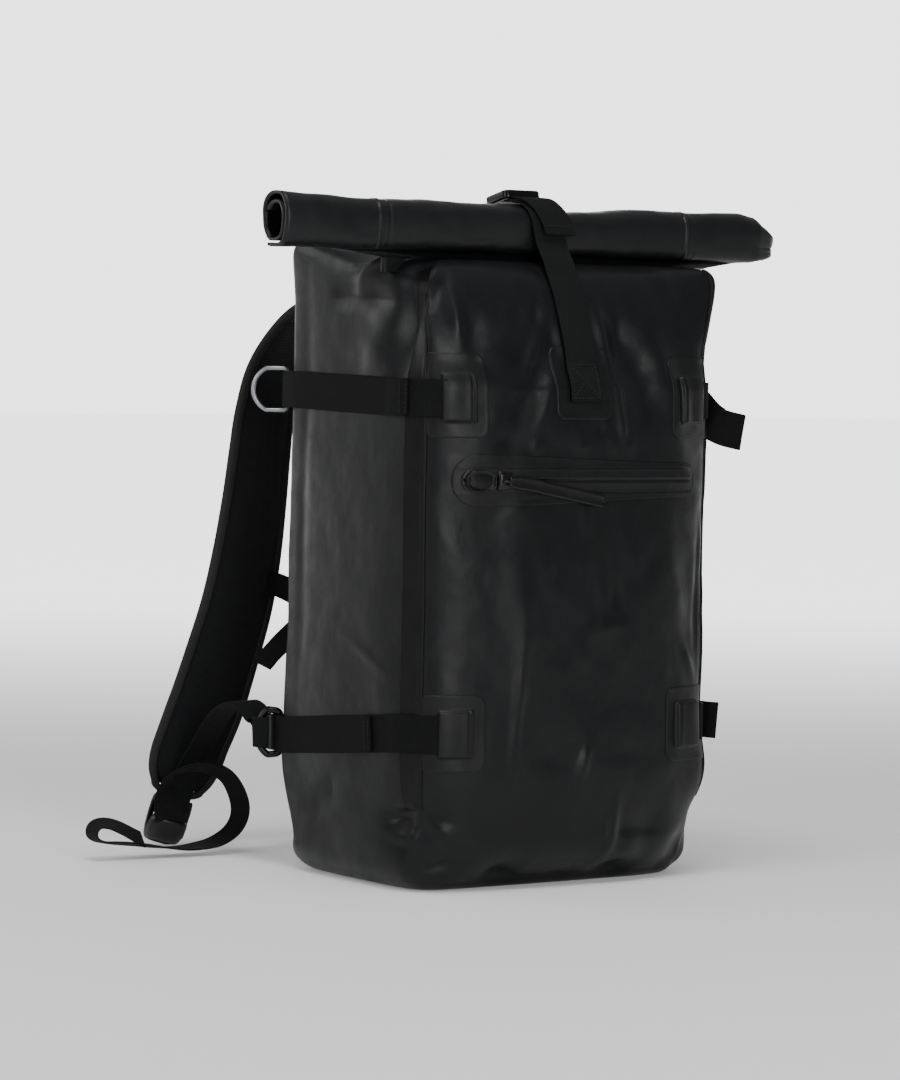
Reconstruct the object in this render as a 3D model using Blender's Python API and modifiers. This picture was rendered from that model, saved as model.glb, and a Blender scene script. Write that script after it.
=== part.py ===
"""Rolltop backpack, one size, standing on its flat base.

Metres.  +X is the bag's right as seen from the front, +Y runs from front to back,
+Z is up.  The origin is the centre of the base on the floor.  The front panel
faces -Y, the shoulder straps are on the +Y side.
"""
import bpy
import bmesh
from bisect import bisect_right
from math import acos, cos, pi, radians, sin, sqrt
from mathutils import Matrix, Vector

# Sack
BODY_WIDTH = 0.286        # across the two side panels
FRONT_Y = -0.095          # line of the two front corner seams
BACK_Y = 0.103            # back panel
WALL = 0.0020             # coated cloth
STRIP_X = 0.006           # welded corner strip, share of it across the front
STRIP_Y = 0.015           # and along the side
BACK_RADIUS = 0.018       # rounding of the two back corners
BASE_RADIUS = 0.021       # rounding between the walls and the flat base
FRONT_BULGE = 0.029       # how far the front panel stands out between its seams
SIDE_BULGE = 0.006
SHOULDER_Z = 0.420        # where the panels start to close towards the neck
FRONT_CREST_Z = 0.4975    # top edge of the front panel
SIDE_CREST_Z = 0.4880     # fold across the top of each side panel
BACK_CREST_Z = 0.4960
CORNER_CREST_Z = 0.5100   # the two back corners stand highest
NECK_Z = 0.4995           # flattened tube below the roll
MOUTH_Z = 0.5037
NECK_HALF = 0.186         # half the length of the flattened tube
NECK_THICK = 0.0095
NECK_Y = -0.050

# Roll
ROLL_LEFT = -0.2465
ROLL_RIGHT = 0.2360
ROLL_Z = 0.5248
ROLL_HEIGHT = 0.0412
ROLL_DEPTH = 0.0380
ROLL_WALL = 0.0024

# Webbing
WEB = 0.030
WEB_THIN = 0.0016
CLEAR = 0.0005            # air between neighbours
UPPER_Z = 0.3890          # centre line of the upper side straps
LOWER_Z = 0.1260
UPPER_BACK_Z = 0.3935     # the upper straps rise a little towards the back
LOWER_BACK_Z = 0.1100     # the lower ones sag

# Zip
ZIP_Z = 0.3250
ZIP_TAPE_HIGH = 0.018

# Shoulder strap
PAD_WIDE = 0.062
PAD_THICK = 0.010
LOOP_WEB = 0.025          # adjuster webbing

# Ring zones along the half girth, from the middle of the front
S_SEAM = BODY_WIDTH / 2 - STRIP_X
S_SIDE = S_SEAM + sqrt(STRIP_X ** 2 + STRIP_Y ** 2)
S_ARC = S_SIDE + BACK_Y - FRONT_Y - STRIP_Y - BACK_RADIUS
S_BACK = S_ARC + BACK_RADIUS * pi / 2
S_END = S_BACK + BODY_WIDTH / 2 - BACK_RADIUS
S_TIP = S_SIDE + (S_ARC - S_SIDE) * 0.46   # column that ends in the tip of the neck

MATERIALS = {
    "coated_cloth": ((0.022, 0.023, 0.025), 0.48, 0.0),
    "weld_tape": ((0.018, 0.019, 0.021), 0.42, 0.0),
    "webbing": ((0.010, 0.010, 0.011), 0.85, 0.0),
    "moulded_plastic": ((0.012, 0.012, 0.013), 0.35, 0.0),
    "zip_tape_cloth": ((0.012, 0.012, 0.013), 0.60, 0.0),
    "steel": ((0.42, 0.43, 0.45), 0.30, 1.0),
    "air_mesh": ((0.016, 0.017, 0.019), 0.90, 0.0),
    "edge_binding": ((0.011, 0.011, 0.012), 0.75, 0.0),
}

for old in list(bpy.data.objects):
    bpy.data.objects.remove(old, do_unlink=True)
for old in list(bpy.data.collections):
    bpy.data.collections.remove(old)

BAG = bpy.data.collections.new("rolltop_backpack")
bpy.context.scene.collection.children.link(BAG)


def material(name):
    if name in bpy.data.materials:
        return bpy.data.materials[name]
    colour, rough, metal = MATERIALS[name]
    mat = bpy.data.materials.new(name)
    mat.use_nodes = True
    shader = mat.node_tree.nodes["Principled BSDF"]
    shader.inputs["Base Color"].default_value = (*colour, 1.0)
    shader.inputs["Roughness"].default_value = rough
    shader.inputs["Metallic"].default_value = metal
    mat.diffuse_color = (*colour, 1.0)
    return mat


def own_material(name, base):
    """One material slot per piece, so that each can be given its own look."""
    mat = material(base).copy()
    mat.name = name + "_mat"
    return mat


def place(name, data, base):
    obj = bpy.data.objects.new(name, data)
    data.materials.clear()
    data.materials.append(own_material(name, base))
    BAG.objects.link(obj)
    return obj


def clamp(x, low=0.0, high=1.0):
    return max(low, min(high, x))


def ease(x):
    x = clamp(x)
    return x * x * (3 - 2 * x)


def lerp(a, b, t):
    return a + (b - a) * t


def keyed(rows, x):
    """Value of a short table of (x, value) rows, eased between them."""
    if x <= rows[0][0]:
        return rows[0][1]
    for (x0, v0), (x1, v1) in zip(rows, rows[1:]):
        if x <= x1:
            return lerp(v0, v1, ease((x - x0) / (x1 - x0)))
    return rows[-1][1]


def straight(rows, x):
    """The same without easing."""
    for (x0, v0), (x1, v1) in zip(rows, rows[1:]):
        if x <= x1:
            return lerp(v0, v1, clamp((x - x0) / (x1 - x0)))
    return rows[-1][1]


# Girth of the sack at any height

def girth(s):
    """Plain outline at signed distance s from the middle of the front."""
    a, side = abs(s), (1 if s >= 0 else -1)
    hw = BODY_WIDTH / 2
    if a <= S_SEAM:
        x, y = a, FRONT_Y
    elif a <= S_SIDE:
        t = (a - S_SEAM) / (S_SIDE - S_SEAM)
        x, y = S_SEAM + STRIP_X * t, FRONT_Y + STRIP_Y * t
    elif a <= S_ARC:
        x, y = hw, FRONT_Y + STRIP_Y + (a - S_SIDE)
    elif a <= S_BACK:
        t = (a - S_ARC) / BACK_RADIUS
        x = hw - BACK_RADIUS + BACK_RADIUS * cos(t)
        y = BACK_Y - BACK_RADIUS + BACK_RADIUS * sin(t)
    else:
        x, y = hw - BACK_RADIUS - (a - S_BACK), BACK_Y
    return side * x, y


# Share of the bulge, or metres for the back, at rising heights
FRONT_SWELL = [(0.0, 0.35), (0.04, 0.80), (0.10, 1.0), (0.36, 1.0), (0.395, 0.92), (0.42, 0.62)]
SIDE_SWELL = [(0.0, 0.4), (0.08, 1.0), (0.30, 0.8), (0.42, 0.35)]
BACK_SWELL = [(0.0, 0.0025), (0.12, 0.0045), (0.22, 0.0010), (0.30, 0.0), (0.42, -0.0050)]


def wall(s, z):
    a, side = abs(s), (1 if s >= 0 else -1)
    x, y = girth(s)
    if a < S_SEAM:
        y -= FRONT_BULGE * (1 - (a / S_SEAM) ** 3) ** 0.6 * keyed(FRONT_SWELL, z)
    elif S_SIDE < a < S_ARC:
        u = (a - S_SIDE) / (S_ARC - S_SIDE)
        x += side * SIDE_BULGE * 4 * u * (1 - u) * keyed(SIDE_SWELL, z)
    if a > S_SIDE:
        y += keyed(BACK_SWELL, z) * ease((a - S_SIDE) / (S_ARC - S_SIDE))
    if z < BASE_RADIUS:
        inset = BASE_RADIUS - sqrt(max(0.0, BASE_RADIUS ** 2 - (BASE_RADIUS - z) ** 2))
        x *= 1 - inset / (BODY_WIDTH / 2)
        y *= 1 - inset / (0.5 * (BACK_Y - FRONT_Y) + 0.010)
    return Vector((x, y, z))


def neck(s):
    """Flattened tube under the roll, a long thin stadium."""
    a, side = abs(s), (1 if s >= 0 else -1)
    r = NECK_THICK / 2
    d = abs(a - S_TIP)
    face = -1 if a < S_TIP else 1
    if d < r * pi / 2:
        x, y = NECK_HALF - r + r * cos(d / r), face * r * sin(d / r)
    else:
        most = (S_TIP if face < 0 else S_END - S_TIP) - r * pi / 2
        x, y = (NECK_HALF - r) * (1 - (d - r * pi / 2) / most), face * r
    return Vector((side * x, NECK_Y + y, NECK_Z))


def crest(s):
    a = abs(s)
    if a < S_SEAM:
        return FRONT_CREST_Z
    if a < S_SIDE:
        return lerp(FRONT_CREST_Z, SIDE_CREST_Z, ease((a - S_SEAM) / (S_SIDE - S_SEAM)))
    if a < S_ARC:
        return lerp(SIDE_CREST_Z, CORNER_CREST_Z, clamp((a - S_TIP - 0.026) / (S_ARC - S_TIP - 0.026)))
    return lerp(CORNER_CREST_Z, BACK_CREST_Z, ease((a - S_BACK) / 0.06))


def lean(s, up):
    """How far each panel leans at a share of its height above the shoulder."""
    a, side = abs(s), (1 if s >= 0 else -1)
    wide = 0.020 if side > 0 else 0.001          # the right side flares out more
    late = clamp((up - 0.12) / 0.88)
    if a < S_SEAM:
        inner = (1 - (a / S_SEAM) ** 2) ** 0.6
        return Vector((0.9 * wide * (a / S_SEAM) ** 3 * late, 0.021 * inner * up, 0))
    if a < S_TIP:
        return Vector((wide * late, 0, 0))
    corner = ease((a - S_TIP) / (S_ARC - S_TIP)) * (1 - ease((a - S_BACK) / 0.05))
    flare = wide * (1 - ease((a - S_TIP) / (S_ARC - S_TIP)))
    return Vector((side * 0.0030 * corner * late ** 2 + flare * late, 0.0050 * corner * late ** 2, 0))


SQUARE = {
    -1: [(0.0, 3.2), (0.10, 3.2), (S_SEAM, 3.2), (S_TIP, 3.6), (S_ARC, 15.0), (S_BACK, 15.0), (S_END, 6.0)],
    1: [(0.0, 3.2), (0.10, 3.6), (S_SEAM, 7.0), (S_TIP, 7.0), (S_ARC, 15.0), (S_BACK, 15.0), (S_END, 6.0)],
}


def plain(s, v):
    """v is the height up to the shoulder, then 0.42..0.52 runs over to the neck."""
    if v <= SHOULDER_Z:
        return wall(s, v)
    power = 2 / keyed(SQUARE[1 if s >= 0 else -1], abs(s))
    phi = min(1.0, (v - SHOULDER_Z) / 0.10) * pi / 2
    h = 1 - max(0.0, cos(phi)) ** power
    up = sin(phi) ** power
    low, high = wall(s, SHOULDER_Z) + lean(s, up), neck(s)
    point = low.lerp(high, h)
    top = crest(s)
    point.z = SHOULDER_Z + (top - SHOULDER_Z) * up + (NECK_Z - top) * h * h
    return point


# Dents and folds of the filled sack: place along the girth, height, reach each
# way, lean of the long axis in degrees and depth (below zero stands out)
DENTS = [
    # s,      v,     reach_s, reach_v, lean, depth
    (-0.150, 0.052, 0.024, 0.016, 0, 0.0070),
    (0.150, 0.052, 0.024, 0.017, 0, 0.0060),
    (0.126, 0.018, 0.022, 0.024, 0, 0.0120),
    (-0.061, 0.006, 0.018, 0.018, 0, 0.0075),
    (0.0, 0.004, 0.080, 0.014, 0, 0.0060),
    (0.057, 0.006, 0.016, 0.014, 0, 0.0055),
    (-0.123, 0.022, 0.018, 0.016, 0, 0.0030),
    (-0.128, 0.444, 0.020, 0.026, -20, 0.0040),
    (-0.185, 0.448, 0.030, 0.018, 0, 0.0030),
    (0.110, 0.440, 0.026, 0.026, 20, 0.0030),
    (-0.046, 0.405, 0.018, 0.040, -25, 0.0030),
    (0.056, 0.405, 0.022, 0.040, 20, 0.0030),
    (-0.060, 0.215, 0.016, 0.080, 0, -0.0020),
    (0.030, 0.160, 0.040, 0.030, -35, 0.0020),
    (0.112, 0.240, 0.014, 0.050, 10, 0.0020),
    (0.145, 0.085, 0.018, 0.034, 0, -0.0085),
    (0.145, 0.200, 0.016, 0.060, 0, -0.0035),
    (0.145, 0.350, 0.016, 0.050, 0, -0.0040),
    (-0.335, 0.026, 0.024, 0.020, 0, 0.0045),
    (-0.330, 0.080, 0.024, 0.030, 0, -0.0030),
]


def dent_at(s, v):
    total = 0.0
    for s0, v0, rs, rv, lean, depth in DENTS:
        c, n = cos(radians(lean)), sin(radians(lean))
        ds, dv = s - s0, v - v0
        u, w = (ds * c + dv * n) / rs, (dv * c - ds * n) / rv
        e = u * u + w * w
        if e < 6:
            total += depth * (2.718281828 ** -e)
    return total


def skin(s, v, off=0.0):
    """Point on the outside of the sack, moved out by off."""
    p = plain(s, v)
    e = 0.0006
    v1 = min(v + e, 0.5199) if v > SHOULDER_Z else min(v + e, SHOULDER_Z)
    v0 = max(v - e, 0.0004)
    across = plain(s + e, v) - plain(s - e, v)
    along = plain(s, v1) - plain(s, v0)
    n = across.cross(along)
    if n.length < 1e-12:
        return p
    n.normalize()
    base = 1.0 if v > 0.0005 else 0.0
    return p + n * (off - dent_at(s, v) * base)


# Mesh makers

def from_grid(name, rows, base, ring=False, floor=False):
    bm = bmesh.new()
    verts = [[bm.verts.new(p) for p in row] for row in rows]
    count = len(rows[0])
    for a, b in zip(verts, verts[1:]):
        for i in range(count if ring else count - 1):
            j = (i + 1) % count
            bm.faces.new((a[i], a[j], b[j]))
            bm.faces.new((a[i], b[j], b[i]))
    if floor:
        bm.faces.new(list(reversed(verts[0])))
    bmesh.ops.recalc_face_normals(bm, faces=bm.faces)
    mesh = bpy.data.meshes.new(name)
    bm.to_mesh(mesh)
    bm.free()
    return place(name, mesh, base)


def thicken(obj, thick, offset=0.0):
    mod = obj.modifiers.new("thickness", "SOLIDIFY")
    mod.thickness = thick
    mod.offset = offset
    mod.use_even_offset = False
    mod.use_rim = True
    return obj


def slab(name, low, high, base):
    """Closed piece between two grids of the same size."""
    bm = bmesh.new()
    lo = [[bm.verts.new(p) for p in row] for row in low]
    hi = [[bm.verts.new(p) for p in row] for row in high]
    n, m = len(low), len(low[0])
    for i in range(n - 1):
        for j in range(m - 1):
            bm.faces.new((hi[i][j], hi[i][j + 1], hi[i + 1][j + 1], hi[i + 1][j]))
            bm.faces.new((lo[i][j], lo[i + 1][j], lo[i + 1][j + 1], lo[i][j + 1]))
    rim = [(0, j) for j in range(m)] + [(i, m - 1) for i in range(1, n)]
    rim += [(n - 1, j) for j in range(m - 2, -1, -1)] + [(i, 0) for i in range(n - 2, 0, -1)]
    for (i, j), (k, l) in zip(rim, rim[1:] + rim[:1]):
        bm.faces.new((lo[i][j], lo[k][l], hi[k][l], hi[i][j]))
    bmesh.ops.triangulate(bm, faces=bm.faces, quad_method="FIXED")
    bmesh.ops.recalc_face_normals(bm, faces=bm.faces)
    mesh = bpy.data.meshes.new(name)
    bm.to_mesh(mesh)
    bm.free()
    return place(name, mesh, base)


def loft(name, rings, base):
    """Closed body through rings of points, with a flat face at each end."""
    bm = bmesh.new()
    verts = [[bm.verts.new(p) for p in ring] for ring in rings]
    count = len(rings[0])
    for a, b in zip(verts, verts[1:]):
        for i in range(count):
            j = (i + 1) % count
            bm.faces.new((a[i], a[j], b[j]))
            bm.faces.new((a[i], b[j], b[i]))
    bm.faces.new(list(reversed(verts[0])))
    bm.faces.new(verts[-1])
    bmesh.ops.recalc_face_normals(bm, faces=bm.faces)
    mesh = bpy.data.meshes.new(name)
    bm.to_mesh(mesh)
    bm.free()
    return place(name, mesh, base)


def tangents(path):
    out = []
    for i in range(len(path)):
        a, b = path[max(0, i - 1)], path[min(len(path) - 1, i + 1)]
        out.append((b - a).normalized())
    return out


def square_to(direction, tangent):
    d = Vector(direction)
    d -= tangent * d.dot(tangent)
    return d.normalized()


def ribbon(name, path, across, width, base="webbing", thick=WEB_THIN, square=True):
    """Flat webbing along a path, its width lying along the given directions."""
    tans = tangents(path)
    rows = []
    for p, t, a in zip(path, tans, across):
        w = (square_to(a, t) if square else a) * (width / 2)
        rows.append([p - w, p + w])
    return thicken(from_grid(name, rows, base), thick)


def plate(name, outline, holes, half_thick, bevel, origin, ax, ay, base):
    """Flat moulded part from a 2-D curve with holes, set on two axes."""
    curve = bpy.data.curves.new(name, "CURVE")
    curve.dimensions = "2D"
    curve.fill_mode = "BOTH"
    curve.extrude = half_thick - bevel
    curve.bevel_depth = bevel
    curve.bevel_resolution = 0
    for loop in [outline] + list(holes):
        spline = curve.splines.new("POLY")
        spline.points.add(len(loop) - 1)
        for point, (x, y) in zip(spline.points, loop):
            point.co = (x, y, 0.0, 1.0)
        spline.use_cyclic_u = True
    obj = place(name, curve, base)
    az = Vector(ax).cross(Vector(ay)).normalized()
    obj.matrix_world = Matrix((
        (ax[0], ay[0], az[0], origin[0]),
        (ax[1], ay[1], az[1], origin[1]),
        (ax[2], ay[2], az[2], origin[2]),
        (0, 0, 0, 1)))
    return obj


def round_box(wide, high, radius, steps=2):
    """Corner points of a rectangle with rounded corners, centred."""
    pts = []
    for cx, cy, start in ((wide / 2 - radius, high / 2 - radius, 0),
                          (-wide / 2 + radius, high / 2 - radius, 90),
                          (-wide / 2 + radius, -high / 2 + radius, 180),
                          (wide / 2 - radius, -high / 2 + radius, 270)):
        for k in range(steps + 1):
            a = radians(start + 90 * k / steps)
            pts.append((cx + radius * cos(a), cy + radius * sin(a)))
    return pts


# Sack shell
half = [0.024, 0.047, 0.068, 0.085, 0.101, 0.114, 0.125, 0.1325, S_SEAM, S_SIDE,
        S_SIDE + 0.024, S_SIDE + 0.046]
half += [S_TIP - 0.0038, S_TIP, S_TIP + 0.0038]
half += [S_TIP + 0.028, S_TIP + 0.056, S_ARC, S_ARC + (S_BACK - S_ARC) / 3,
         S_ARC + (S_BACK - S_ARC) * 2 / 3, S_BACK, S_BACK + 0.062]
columns = [-s for s in reversed(half)] + [0.0] + half + [S_END]

levels = [BASE_RADIUS * (1 - cos(radians(a))) for a in (0, 24, 46, 66, 90)]
levels += [0.052, 0.078, 0.111, 0.141, 0.190, 0.265, 0.345, 0.374, 0.404, SHOULDER_Z]
levels += [SHOULDER_Z + 0.10 * f for f in (0.16, 0.33, 0.50, 0.66, 0.80, 0.91, 1.0)]

shell_rows = [[skin(s, v) for s in columns] for v in levels]
for i, s in enumerate(columns):
    shell_rows[-1][i] = neck(s)
shell_rows.append([neck(s) + Vector((0, 0, MOUTH_Z - NECK_Z)) for s in columns])
shell = from_grid("sack_shell", shell_rows, "coated_cloth", ring=True, floor=True)
thicken(shell, WALL, -1.0)


def facet(s, v, off=0.0):
    """Point on the flat facets of the shell, moved out by off."""
    j = max(0, min(len(levels) - 2, bisect_right(levels, v) - 1))
    tv = (v - levels[j]) / (levels[j + 1] - levels[j])
    if s < columns[0]:
        i, k = len(columns) - 1, 0
        ts = (s + S_END) / (columns[0] + S_END)
    else:
        i = max(0, min(len(columns) - 2, bisect_right(columns, s) - 1))
        k = i + 1
        ts = (s - columns[i]) / (columns[k] - columns[i])
    a, b, c, d = (shell_rows[j][i], shell_rows[j][k], shell_rows[j + 1][i], shell_rows[j + 1][k])
    p = a + (b - a) * ts + (d - b) * tv if ts >= tv else a + (c - a) * tv + (d - c) * ts
    if not off:
        return p
    e = 0.0012
    across = facet(s + e, v) - facet(s - e, v)
    along = facet(s, v + e) - facet(s, v - e)
    return p + across.cross(along).normalized() * off


def facet_at(s, z, off=0.0):
    """The same at a true height, also above the shoulder."""
    if z <= SHOULDER_Z:
        return facet(s, z, off)
    low, high = SHOULDER_Z, SHOULDER_Z + 0.08
    for _ in range(24):
        mid = (low + high) / 2
        if facet(s, mid).z < z:
            low = mid
        else:
            high = mid
    return facet(s, low, off)


def with_lines(values, lines, near=0.0016):
    """Adds the facet lines that fall between the given stations."""
    low, high = min(values), max(values)
    more = [x for x in lines if low < x < high and all(abs(x - y) > near for y in values)]
    out = sorted(list(values) + more)
    return out if values[0] < values[-1] else list(reversed(out))


# Roll: one and three quarter turns of the flattened tube, open at both ends
# Stations along its length: share of the length, height, depth, lift, shift back
ROLL_STATIONS = [
    # share, height, depth, lift,   back
    (0.000, 1.05, 0.96, 0.0000, 0.000),
    (0.050, 1.01, 1.00, 0.0004, 0.000),
    (0.150, 0.99, 1.00, 0.0000, 0.000),
    (0.420, 0.99, 1.00, 0.0000, 0.000),
    (0.580, 0.93, 1.00, 0.0000, 0.000),
    (0.720, 0.98, 1.00, 0.0000, 0.000),
    (0.948, 0.99, 1.00, 0.0000, 0.000),
    (1.000, 0.58, 0.80, 0.0040, 0.003),
]


def roll_section(turn):
    """Centre line of the rolled cloth, turn counts back from its outer end."""
    k = keyed([(0.0, 1.0), (0.70, 1.0), (1.0, 0.785), (1.75, 0.63)], turn)
    angle = radians(-62) - turn * 2 * pi
    c, s = cos(angle), sin(angle)
    n = 2 / 2.7
    y = (abs(c) ** n) * (1 if c > 0 else -1)
    z = (abs(s) ** n) * (1 if s > 0 else -1)
    return y * k, z * k


roll_rows = []
turns = [1.75 * i / 18 for i in range(19)]
for share, high, deep, lift, back in ROLL_STATIONS:
    x = lerp(ROLL_LEFT, ROLL_RIGHT, share)
    row = []
    for turn in turns:
        y, z = roll_section(turn)
        ry = (ROLL_DEPTH * deep - ROLL_WALL) / 2
        rz = (ROLL_HEIGHT * high - ROLL_WALL) / 2
        low = ROLL_Z - ROLL_HEIGHT / 2 + ROLL_WALL / 2
        row.append(Vector((x, NECK_Y + y * ry + back, max(low + rz + z * rz + lift, low))))
    roll_rows.append(row)
roll = from_grid("roll_top", roll_rows, "coated_cloth")
thicken(roll, ROLL_WALL)


# Welded strips down the two front corners
def seam_strip(side):
    rows_low, rows_high = [], []
    stations = [0.088] + [v for v in levels if 0.09 < v < SHOULDER_Z + 0.07]
    for v in stations:
        across = [S_SEAM + 0.0006, (S_SEAM + S_SIDE) / 2, S_SIDE - 0.0006]
        rows_low.append([facet(side * s, v, 0.0007) for s in across])
        rows_high.append([facet(side * s, v, 0.0016) for s in across])
    return rows_low, rows_high


for side, word in ((-1, "left"), (1, "right")):
    slab("corner_seam_" + word, *seam_strip(side), "weld_tape")


# Welded patches with a raised pocket that holds the end of a side strap
def patch(name, side, z_low, z_high, z_mid):
    r = 0.009
    zs = [z_low, z_low + 0.3 * r, z_low + r, z_mid - 0.0190, z_mid - 0.0175,
          z_mid + 0.0175, z_mid + 0.0190, z_high - r, z_high - 0.3 * r, z_high]
    zs = with_lines(zs, [v for v in levels if v <= SHOULDER_Z])
    ss = [S_SEAM - 0.0008, 0.1325, POCKET_MOUTH, POCKET_MOUTH - 0.0004, 0.1140,
          POCKET_END + 0.0012, POCKET_END, PATCH_END]
    low, high = [], []
    for z in zs:
        edge = min(z - z_low, z_high - z)
        cut = r - sqrt(max(0.0, r * r - (r - edge) ** 2)) if edge < r else 0.0
        row_low, row_high = [], []
        for j, s in enumerate(ss):
            s_at = s + cut * (1 if j == len(ss) - 1 else 0) - 0.2 * cut * (1 if j == 0 else 0)
            in_pocket = 3 <= j <= 5 and abs(z - z_mid) < 0.0176
            thick = 0.0042 if in_pocket else 0.0011
            row_low.append(facet_at(side * s_at, z, 0.0007))
            row_high.append(facet_at(side * s_at, z, 0.0007 + thick))
        low.append(row_low)
        high.append(row_high)
    slab(name, low, high, "weld_tape")


POCKET_MOUTH = 0.1250
POCKET_END = 0.0998
PATCH_END = 0.0890
for side, word in ((-1, "left"), (1, "right")):
    patch("upper_patch_" + word, side, 0.3580, 0.4245, UPPER_Z)
    patch("lower_patch_" + word, side, 0.0960, 0.1570, LOWER_Z)


# Short webbing ends that come out of the pockets and run under the side straps
def stub(name, side, z_mid, s_far, z_back):
    stations = [0.1266, 0.1290, 0.1325, S_SEAM, S_SIDE, S_SIDE + 0.010]
    if s_far > S_SIDE + 0.012:
        stations.append(s_far)
    rows = []
    for s in stations:
        off = 0.0025 if s <= S_SIDE + 0.001 else (0.0018 if s < S_SIDE + 0.012 else 0.0007)
        off += WEB_THIN / 2
        z = lerp(z_mid, z_back, clamp((s - S_SIDE) / (S_ARC - S_SIDE)))
        rows.append([facet(side * s, z - 0.0150, off), facet(side * s, z + 0.0150, off)])
    thicken(from_grid(name, rows, "webbing"), WEB_THIN)


for side, word in ((-1, "left"), (1, "right")):
    stub("upper_stub_" + word, side, UPPER_Z, S_SIDE + 0.010, UPPER_BACK_Z)
    stub("lower_stub_" + word, side, LOWER_Z, S_SIDE + 0.040, LOWER_BACK_Z)


# Side straps from a ring at the back corner to a hemmed end at the front corner
BAR_ANGLE = radians(60)
BAR_OUT = 0.0062
BAR_RADIUS = 0.0017


def bar_centre(side, z):
    reach = BACK_RADIUS + BAR_OUT
    swell = max(0.0, keyed(BACK_SWELL, z))
    return Vector((side * (BODY_WIDTH / 2 - BACK_RADIUS + reach * cos(BAR_ANGLE)),
                   BACK_Y - BACK_RADIUS + swell + reach * sin(BAR_ANGLE), z))


def ring_loop(side, z, radius):
    """Strap round the ring bar, ending against the sack behind it."""
    c = bar_centre(side, z)
    out = []
    for deg in (-62, -25, 15, 55, 95, 128):
        a = BAR_ANGLE + radians(deg)
        out.append(c + Vector((side * cos(a), sin(a), 0)) * radius)
    return out


def side_band(name, side, z_front, z_back, over, tail=None, radius=0.0032):
    """over: (place on the girth, air under the strap); tail: points past the hem."""
    path = []
    for s, off in over:
        z = lerp(z_front, z_back, clamp((s - S_SIDE) / (S_ARC - S_SIDE)))
        path.append(facet(side * s, z, off + WEB_THIN / 2))
    path += ring_loop(side, z_back, radius)
    path.append(facet(side * (S_ARC + BACK_RADIUS * radians(86)), z_back, 0.0016))
    if tail:
        path = [Vector(p) for p in tail] + path
    ribbon(name, path, [Vector((0, 0, 1))] * len(path), WEB)


middle = [(S_SIDE + 0.046, 0.0008), (S_TIP, 0.0008), (S_TIP + 0.028, 0.0008),
          (S_TIP + 0.056, 0.0008), (S_ARC, 0.0008)]
upper_over = [(S_SIDE - 0.006, 0.0048), (S_SIDE, 0.0050), (S_SIDE + 0.012, 0.0046),
              (S_SIDE + 0.024, 0.0014)] + middle
lower_over = [(S_SIDE + 0.030, 0.0036), (S_SIDE + 0.046, 0.0032), (S_TIP, 0.0012), (S_TIP + 0.028, 0.0012),
              (S_TIP + 0.056, 0.0012), (S_ARC, 0.0012)]
side_band("upper_band_left", -1, UPPER_Z, UPPER_BACK_Z, upper_over)
side_band("lower_band_left", -1, LOWER_Z, LOWER_BACK_Z, lower_over, radius=0.0047)
side_band("upper_band_right", 1, UPPER_Z - 0.005, UPPER_BACK_Z,
          [(S_SIDE + 0.006, 0.0070), (S_SIDE + 0.012, 0.0062), (S_SIDE + 0.024, 0.0026)] + middle,
          tail=[(0.1860, -0.0880, 0.3630), (0.1660, -0.0880, 0.3670), (0.1560, -0.0865, 0.3720)])
side_band("lower_band_right", 1, LOWER_Z, LOWER_BACK_Z,
          [(S_SIDE + 0.006, 0.0060), (S_SIDE + 0.018, 0.0048)] + lower_over,
          tail=[(0.1625, -0.0905, 0.1250), (0.1565, -0.0875, 0.1255)], radius=0.0047)


# Metal rings in the upper side straps, each on the axis of its straight bar
def d_ring(name, side):
    centre = bar_centre(side, UPPER_BACK_Z)
    lean = radians(34)
    out = Vector((side * cos(lean), sin(lean), 0))
    up = Vector((0, 0, 1))
    curve = bpy.data.curves.new(name, "CURVE")
    curve.dimensions = "3D"
    curve.bevel_depth = BAR_RADIUS
    curve.bevel_resolution = 1
    spline = curve.splines.new("POLY")
    pts = [out * 0.0 - up * 0.0175, out * 0.0 + up * 0.0175]
    for deg in (62, 45, 28, 10, -10, -28, -45, -62):
        a = radians(deg)
        pts.append(out * (0.0075 + 0.0205 * cos(a)) + up * (0.0195 * sin(a)))
    spline.points.add(len(pts) - 1)
    for point, p in zip(spline.points, pts):
        point.co = (*p, 1.0)
    spline.use_cyclic_u = True
    obj = place(name, curve, "steel")
    obj.location = centre
    return obj


for side, word in ((-1, "left"), (1, "right")):
    d_ring("d_ring_" + word, side)


# Moulded loops in the lower side straps
def side_loop(name, side):
    c = bar_centre(side, LOWER_BACK_Z)
    lean = radians(34)
    out = Vector((side * cos(lean), sin(lean), 0))
    up = Vector((0, 0, 1))
    curve = bpy.data.curves.new(name, "CURVE")
    curve.dimensions = "3D"
    curve.bevel_depth = 0.0029
    curve.bevel_resolution = 1
    spline = curve.splines.new("POLY")
    pts = [out * 0.0 - up * 0.0182, out * 0.0 + up * 0.0182]
    for deg in (66, 44, 22, 0, -22, -44, -66):
        a = radians(deg)
        pts.append(out * (0.0040 + 0.0150 * cos(a)) + up * (0.0205 * sin(a)))
    spline.points.add(len(pts) - 1)
    for point, p in zip(spline.points, pts):
        point.co = (*p, 1.0)
    spline.use_cyclic_u = True
    obj = place(name, curve, "moulded_plastic")
    obj.location = c
    return obj


for side, word in ((-1, "left"), (1, "right")):
    side_loop("side_loop_" + word, side)


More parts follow.
